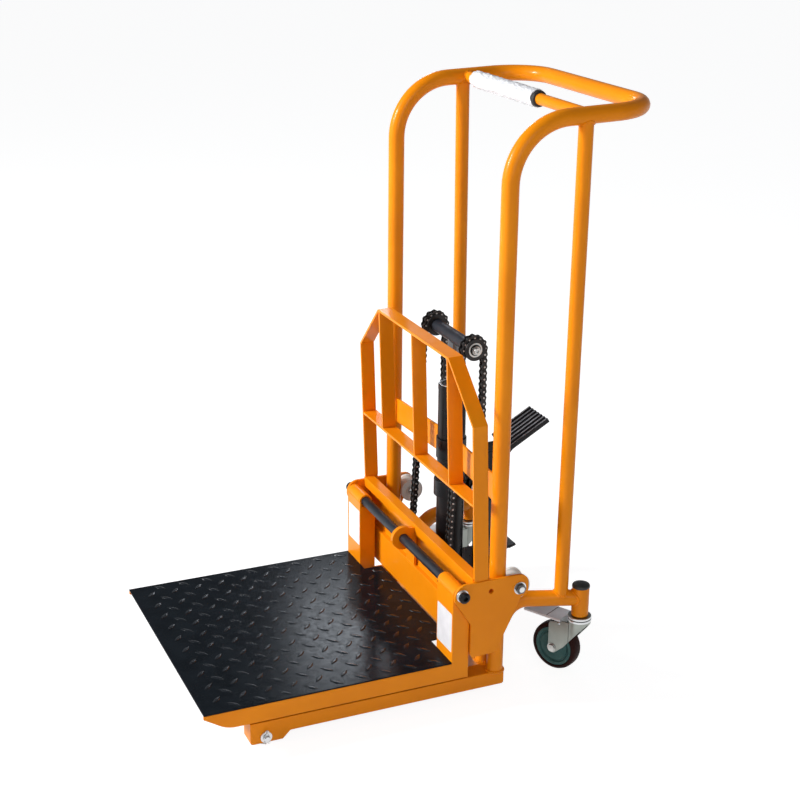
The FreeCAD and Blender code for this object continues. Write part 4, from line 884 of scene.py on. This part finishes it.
def make_grip_wrap():
    """White packing film wound round the grip, creased and loose at its ends."""
    low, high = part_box("grip_wrap")
    base, inner = 0.0160, 0.0156
    around, along = 96, 220
    grip_y, grip_z = GRIP_PLACE
    turns = [2 * pi * index / around for index in range(around)]
    bm = bmesh.new()
    rings = []
    for step in range(along + 1):
        share = step / along
        ring = []
        for turn in turns:
            ragged = RAGGED_REACH * noise.noise(Vector((share * 3, 2 * cos(turn), 2 * sin(turn))))
            x = low.x + (high.x - low.x) * share + ragged * abs(2 * share - 1) ** 6
            radius = wrap_radius(x, turn, base)
            ring.append(bm.verts.new(at(x, grip_y + radius * cos(turn), grip_z + radius * sin(turn))))
        rings.append(ring)
    first, last = ([bm.verts.new(at(vert.co.x, grip_y + inner * cos(turn), grip_z + inner * sin(turn)))
                    for vert, turn in zip(end, turns)] for end in (rings[0], rings[-1]))
    rings = [first] + rings + [last]
    for near, far in zip(rings, rings[1:] + rings[:1]):
        for index in range(around):
            after = (index + 1) % around
            bm.faces.new((near[index], near[after], far[after], far[index]))
    piece("grip_wrap_film", bm, "frame", [FILM], ["grip_wrap"], smooth=70)


# Casters

def make_casters():
    for side in SIDES:
        make_caster_wheel(side)
        make_caster_axle(side)
        make_caster_trim(side)


def make_caster_wheel(side):
    """Dark tread on a moulded core: outer ring, groove and inner disc round the hub."""
    hub = joint_place(f"caster_{side}_roll")
    axis = joint_axis(f"caster_{side}_roll")
    half, outer, rim, hub_r, bore = 0.015, 0.050, 0.0405, 0.014, 0.0061
    segments = 96
    bm = bmesh.new()
    tread = [(-half + 0.002, rim), (-half, 0.0425), (-half + 0.0006, 0.0455), (-half + 0.003, 0.0482),
             (-half + 0.007, 0.0496), (0, outer), (half - 0.007, 0.0496), (half - 0.003, 0.0482),
             (half - 0.0006, 0.0455), (half, 0.0425), (half - 0.002, rim)]
    lathe(bm, tread, hub, axis, 0, segments, ring=True)
    hub_face = half + 0.0004
    face = [(0.0130, rim), (0.0138, 0.0395), (0.0138, 0.0352), (0.0128, 0.0343), (0.0086, 0.0338),
            (0.0086, 0.0304), (0.0114, 0.0298), (0.0120, 0.0288), (0.0120, 0.0170), (0.0130, 0.0150),
            (hub_face, hub_r), (hub_face, bore)]
    core = [(-along, radius) for along, radius in face] + face[::-1]
    lathe(bm, core, hub, axis, 1, segments, ring=True)
    piece(f"caster_wheel_{side}_form", bm, f"caster_wheel_{side}", [TREAD, CORE],
          [f"caster_wheel_{side}"], smooth=45)


def make_caster_axle(side):
    """Axle bolt: hexagon head on one side, washers, and a nut on the other."""
    hub = joint_place(f"caster_{side}_roll")
    axis = joint_axis(f"caster_{side}_roll")
    outside, axle_r, washer_thick = 0.0195, 0.0059, 0.0010
    bm = bmesh.new()
    disc(bm, hub - axis * outside, axis, axle_r, 2 * outside)
    for sense in (-1, 1):
        out = axis * sense
        face = hub + out * outside
        washer(bm, face, out, 0.0058, 0.0096, washer_thick)
        hexagon(bm, face + out * washer_thick, out, 0.0080, 0.0030)
    piece(f"caster_axle_{side}_form", bm, f"caster_{side}", [STEEL], [f"caster_axle_{side}"])


BRAKE_LINE = 0.062
BRAKE_HALF = 0.0235
RACE_INNER = 0.0180
RACE_RINGS = ((-0.0122, 0.0240), (-0.0062, 0.0236))
RACE_HEIGHT = 0.0050
RACE_ROUND = 0.0016
# Black ring between the race rings: painted shade in the gap.
RACE_SHADE_RING = (-0.0075, 0.0233)
RACE_SHADE_RING_HEIGHT = 0.0018


def make_caster_trim(side):
    """Ball race rings under the sleeve with a black ring between them that paints the shade of the gap, and a
    dark line across the brake that paints the shade of a groove.
    """
    stem = joint_place(f"caster_{side}_swivel")
    bm = bmesh.new()
    for low, radius in RACE_RINGS:
        washer(bm, stem + ALONG_Z * low, ALONG_Z, RACE_INNER, radius, RACE_HEIGHT, RACE_ROUND, segments=64)
    low, radius = RACE_SHADE_RING
    washer(bm, stem + ALONG_Z * low, ALONG_Z, RACE_INNER, radius, RACE_SHADE_RING_HEIGHT, 0.0002, material=1,
           segments=64)
    piece(f"caster_race_{side}", bm, f"caster_{side}", [ZINC, MOULDED])
    across = joint_axis(f"caster_{side}_brake")
    trail = across.cross(ALONG_Z)
    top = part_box(f"caster_brake_{side}")[1].z
    # Dark line across the brake's top: painted shade of a groove.
    groove_shade = bmesh.new()
    middle = Vector((stem.x, stem.y, top)) + trail * BRAKE_LINE
    ends = [middle + across * (sense * BRAKE_HALF) for sense in (-1, 1)]
    pipe(groove_shade, ends, 0.0006, 8)
    piece(f"caster_brake_groove_shade_{side}", groove_shade, f"caster_brake_{side}", [MOULDED])


# Pedal, labels

PAD_SLOPE = 30
PAD_START = 0.127
FACING_UP = 0.95
RIB_TOP_DEPTH = 0.0006


def make_pump_pedal():
    """Foot pedal whose rib tops are a lighter grey."""
    bm = soft_copy("pump_pedal", 0.0008)
    slope = radians(PAD_SLOPE)
    up = Vector((0, -sin(slope), cos(slope)))
    heights = {}
    for face in bm.faces:
        middle = face.calc_center_median()
        if face.normal.dot(up) > FACING_UP and middle.y > MAST_Y + PAD_START:
            heights[face] = middle.dot(up)
    top = max(heights.values())
    for face, height in heights.items():
        if height > top - RIB_TOP_DEPTH:
            face.material_index = 1
    piece("pump_pedal_form", bm, "pump_pedal", [ENAMEL, RIB_TOP_GREY], ["pump_pedal"])


LABELS = ((0.200, 0.264, 0.115, 0.196), (-0.260, -0.200, 0.137, 0.217))
LABEL_THICK = 0.0003


def make_labels():
    """Blank white labels on the fronts of the two uprights."""
    bm = bmesh.new()
    corner, steps = 0.003, 3
    for left, right, low, high in LABELS:
        outline = []
        for u, v, start in ((right - corner, high - corner, 0), (left + corner, high - corner, 90),
                            (left + corner, low + corner, 180), (right - corner, low + corner, 270)):
            turns = [radians(start + 90 * step / steps) for step in range(steps + 1)]
            outline += [(u + corner * cos(turn), v + corner * sin(turn)) for turn in turns]
        face = Matrix(((1, 0, 0, 0), (0, 0, -1, MAST_Y + UPRIGHT_FRONT), (0, 1, 0, 0), (0, 0, 0, 1)))
        prism(bm, outline, face, LABEL_THICK)
    piece("blank_labels", bm, "platform", [LABEL])


# Stage, lamps and camera

CAMERA_PLACE = at(2.6184, -1.2463, 1.579)
CAMERA_TURN = (66.2945, 20.0081, 0.5487)
CAMERA_LENS = 69.895


def make_camera():
    azimuth, elevation, roll = (radians(angle) for angle in CAMERA_TURN)
    back = Vector((sin(azimuth) * cos(elevation), -cos(azimuth) * cos(elevation), sin(elevation)))
    right = Vector((cos(azimuth), sin(azimuth), 0))
    up = back.cross(right)
    across = right * cos(roll) + up * sin(roll)
    upward = up * cos(roll) - right * sin(roll)
    lens = bpy.data.cameras.new("camera")
    lens.lens = CAMERA_LENS
    camera = bpy.data.objects.new("camera", lens)
    turn = Matrix((across, upward, back)).transposed().to_4x4()
    camera.matrix_world = Matrix.Translation(CAMERA_PLACE) @ turn
    bpy.context.scene.collection.objects.link(camera)
    bpy.context.scene.camera = camera


def seen_white(tree):
    """1 for rays that look at the background, straight or by reflection or through glass."""
    path = tree.nodes.new("ShaderNodeLightPath")
    value = path.outputs["Is Camera Ray"]
    for output in ("Is Glossy Ray", "Is Transmission Ray"):
        either = tree.nodes.new("ShaderNodeMath")
        either.operation = "MAXIMUM"
        tree.links.new(value, either.inputs[0])
        tree.links.new(path.outputs[output], either.inputs[1])
        value = either.outputs["Value"]
    return value


def make_floor():
    """Pale floor that looks white and keeps a soft shadow."""
    size, glow_share, glow_level = 20.0, 0.62, 1.45
    bm = bmesh.new()
    bmesh.ops.create_grid(bm, x_segments=1, y_segments=1, size=size)
    mesh = template_of(bm, "floor")
    floor = bpy.data.objects.new("floor", mesh)
    bpy.context.scene.collection.objects.link(floor)
    material = bpy.data.materials.new("pale_floor")
    material.use_nodes = True
    tree = material.node_tree
    shader = tree.nodes["Principled BSDF"]
    shader.inputs["Base Color"].default_value = (0.86, 0.86, 0.86, 1)
    shader.inputs["Roughness"].default_value = 0.9
    shader.inputs["Specular IOR Level"].default_value = 0.0
    glow = tree.nodes.new("ShaderNodeEmission")
    glow.inputs["Strength"].default_value = glow_level
    scale = tree.nodes.new("ShaderNodeMath")
    scale.operation = "MULTIPLY"
    scale.inputs[1].default_value = glow_share
    mix = tree.nodes.new("ShaderNodeMixShader")
    tree.links.new(seen_white(tree), scale.inputs[0])
    tree.links.new(scale.outputs["Value"], mix.inputs["Fac"])
    tree.links.new(shader.outputs["BSDF"], mix.inputs[1])
    tree.links.new(glow.outputs["Emission"], mix.inputs[2])
    tree.links.new(mix.outputs["Shader"], tree.nodes["Material Output"].inputs["Surface"])
    mesh.materials.append(material)


def make_world():
    """Soft studio surround: white at the horizon, dimmer overhead."""
    world = bpy.data.worlds.new("studio")
    world.use_nodes = True
    bpy.context.scene.world = world
    tree = world.node_tree
    where = tree.nodes.new("ShaderNodeTexCoord")
    split = tree.nodes.new("ShaderNodeSeparateXYZ")
    ramp = tree.nodes.new("ShaderNodeValToRGB")
    horizon, overhead = (0.02, (1, 1, 1, 1)), (0.24, (0.24, 0.25, 0.27, 1))
    for stop, (place, colour) in zip(ramp.color_ramp.elements, (horizon, overhead)):
        stop.position = place
        stop.color = colour
    tree.links.new(where.outputs["Generated"], split.inputs["Vector"])
    tree.links.new(split.outputs["Z"], ramp.inputs["Fac"])
    tree.links.new(ramp.outputs["Color"], tree.nodes["Background"].inputs["Color"])
    tree.nodes["Background"].inputs["Strength"].default_value = 0.68


def lamp(name, place, target, size, power, colour=(1, 1, 1)):
    light = bpy.data.lights.new(name, "AREA")
    light.size = size
    light.energy = power
    light.color = colour
    obj = bpy.data.objects.new(name, light)
    obj.location = place
    obj.rotation_euler = (Vector(place) - Vector(target)).to_track_quat("Z", "Y").to_euler()
    bpy.context.scene.collection.objects.link(obj)


def make_lamps():
    middle = (0, 0, 0.5)
    lamp("key", (-1.3, -3.2, 2.3), middle, 0.9, 200)
    lamp("fill", (3.0, -0.6, 1.8), middle, 2.0, 24)
    lamp("window", (-2.38, 0.84, 1.53), (0, -0.2, 0.1), 0.32, 4, (0.86, 0.92, 1.0))


dress_solids()
make_frame_welds()
make_checker_plate()
make_chains()
make_chain_wheels()
make_rod_screws()
make_guide_rollers()
make_leg_rollers()
make_pedal_pin()
make_cylinder_head()
make_sleeve_caps()
make_grip_sleeve()
make_grip_wrap()
make_casters()
make_pump_pedal()
make_labels()
make_camera()
make_floor()
make_world()
make_lamps()
bpy.context.scene.view_settings.view_transform = "Standard"
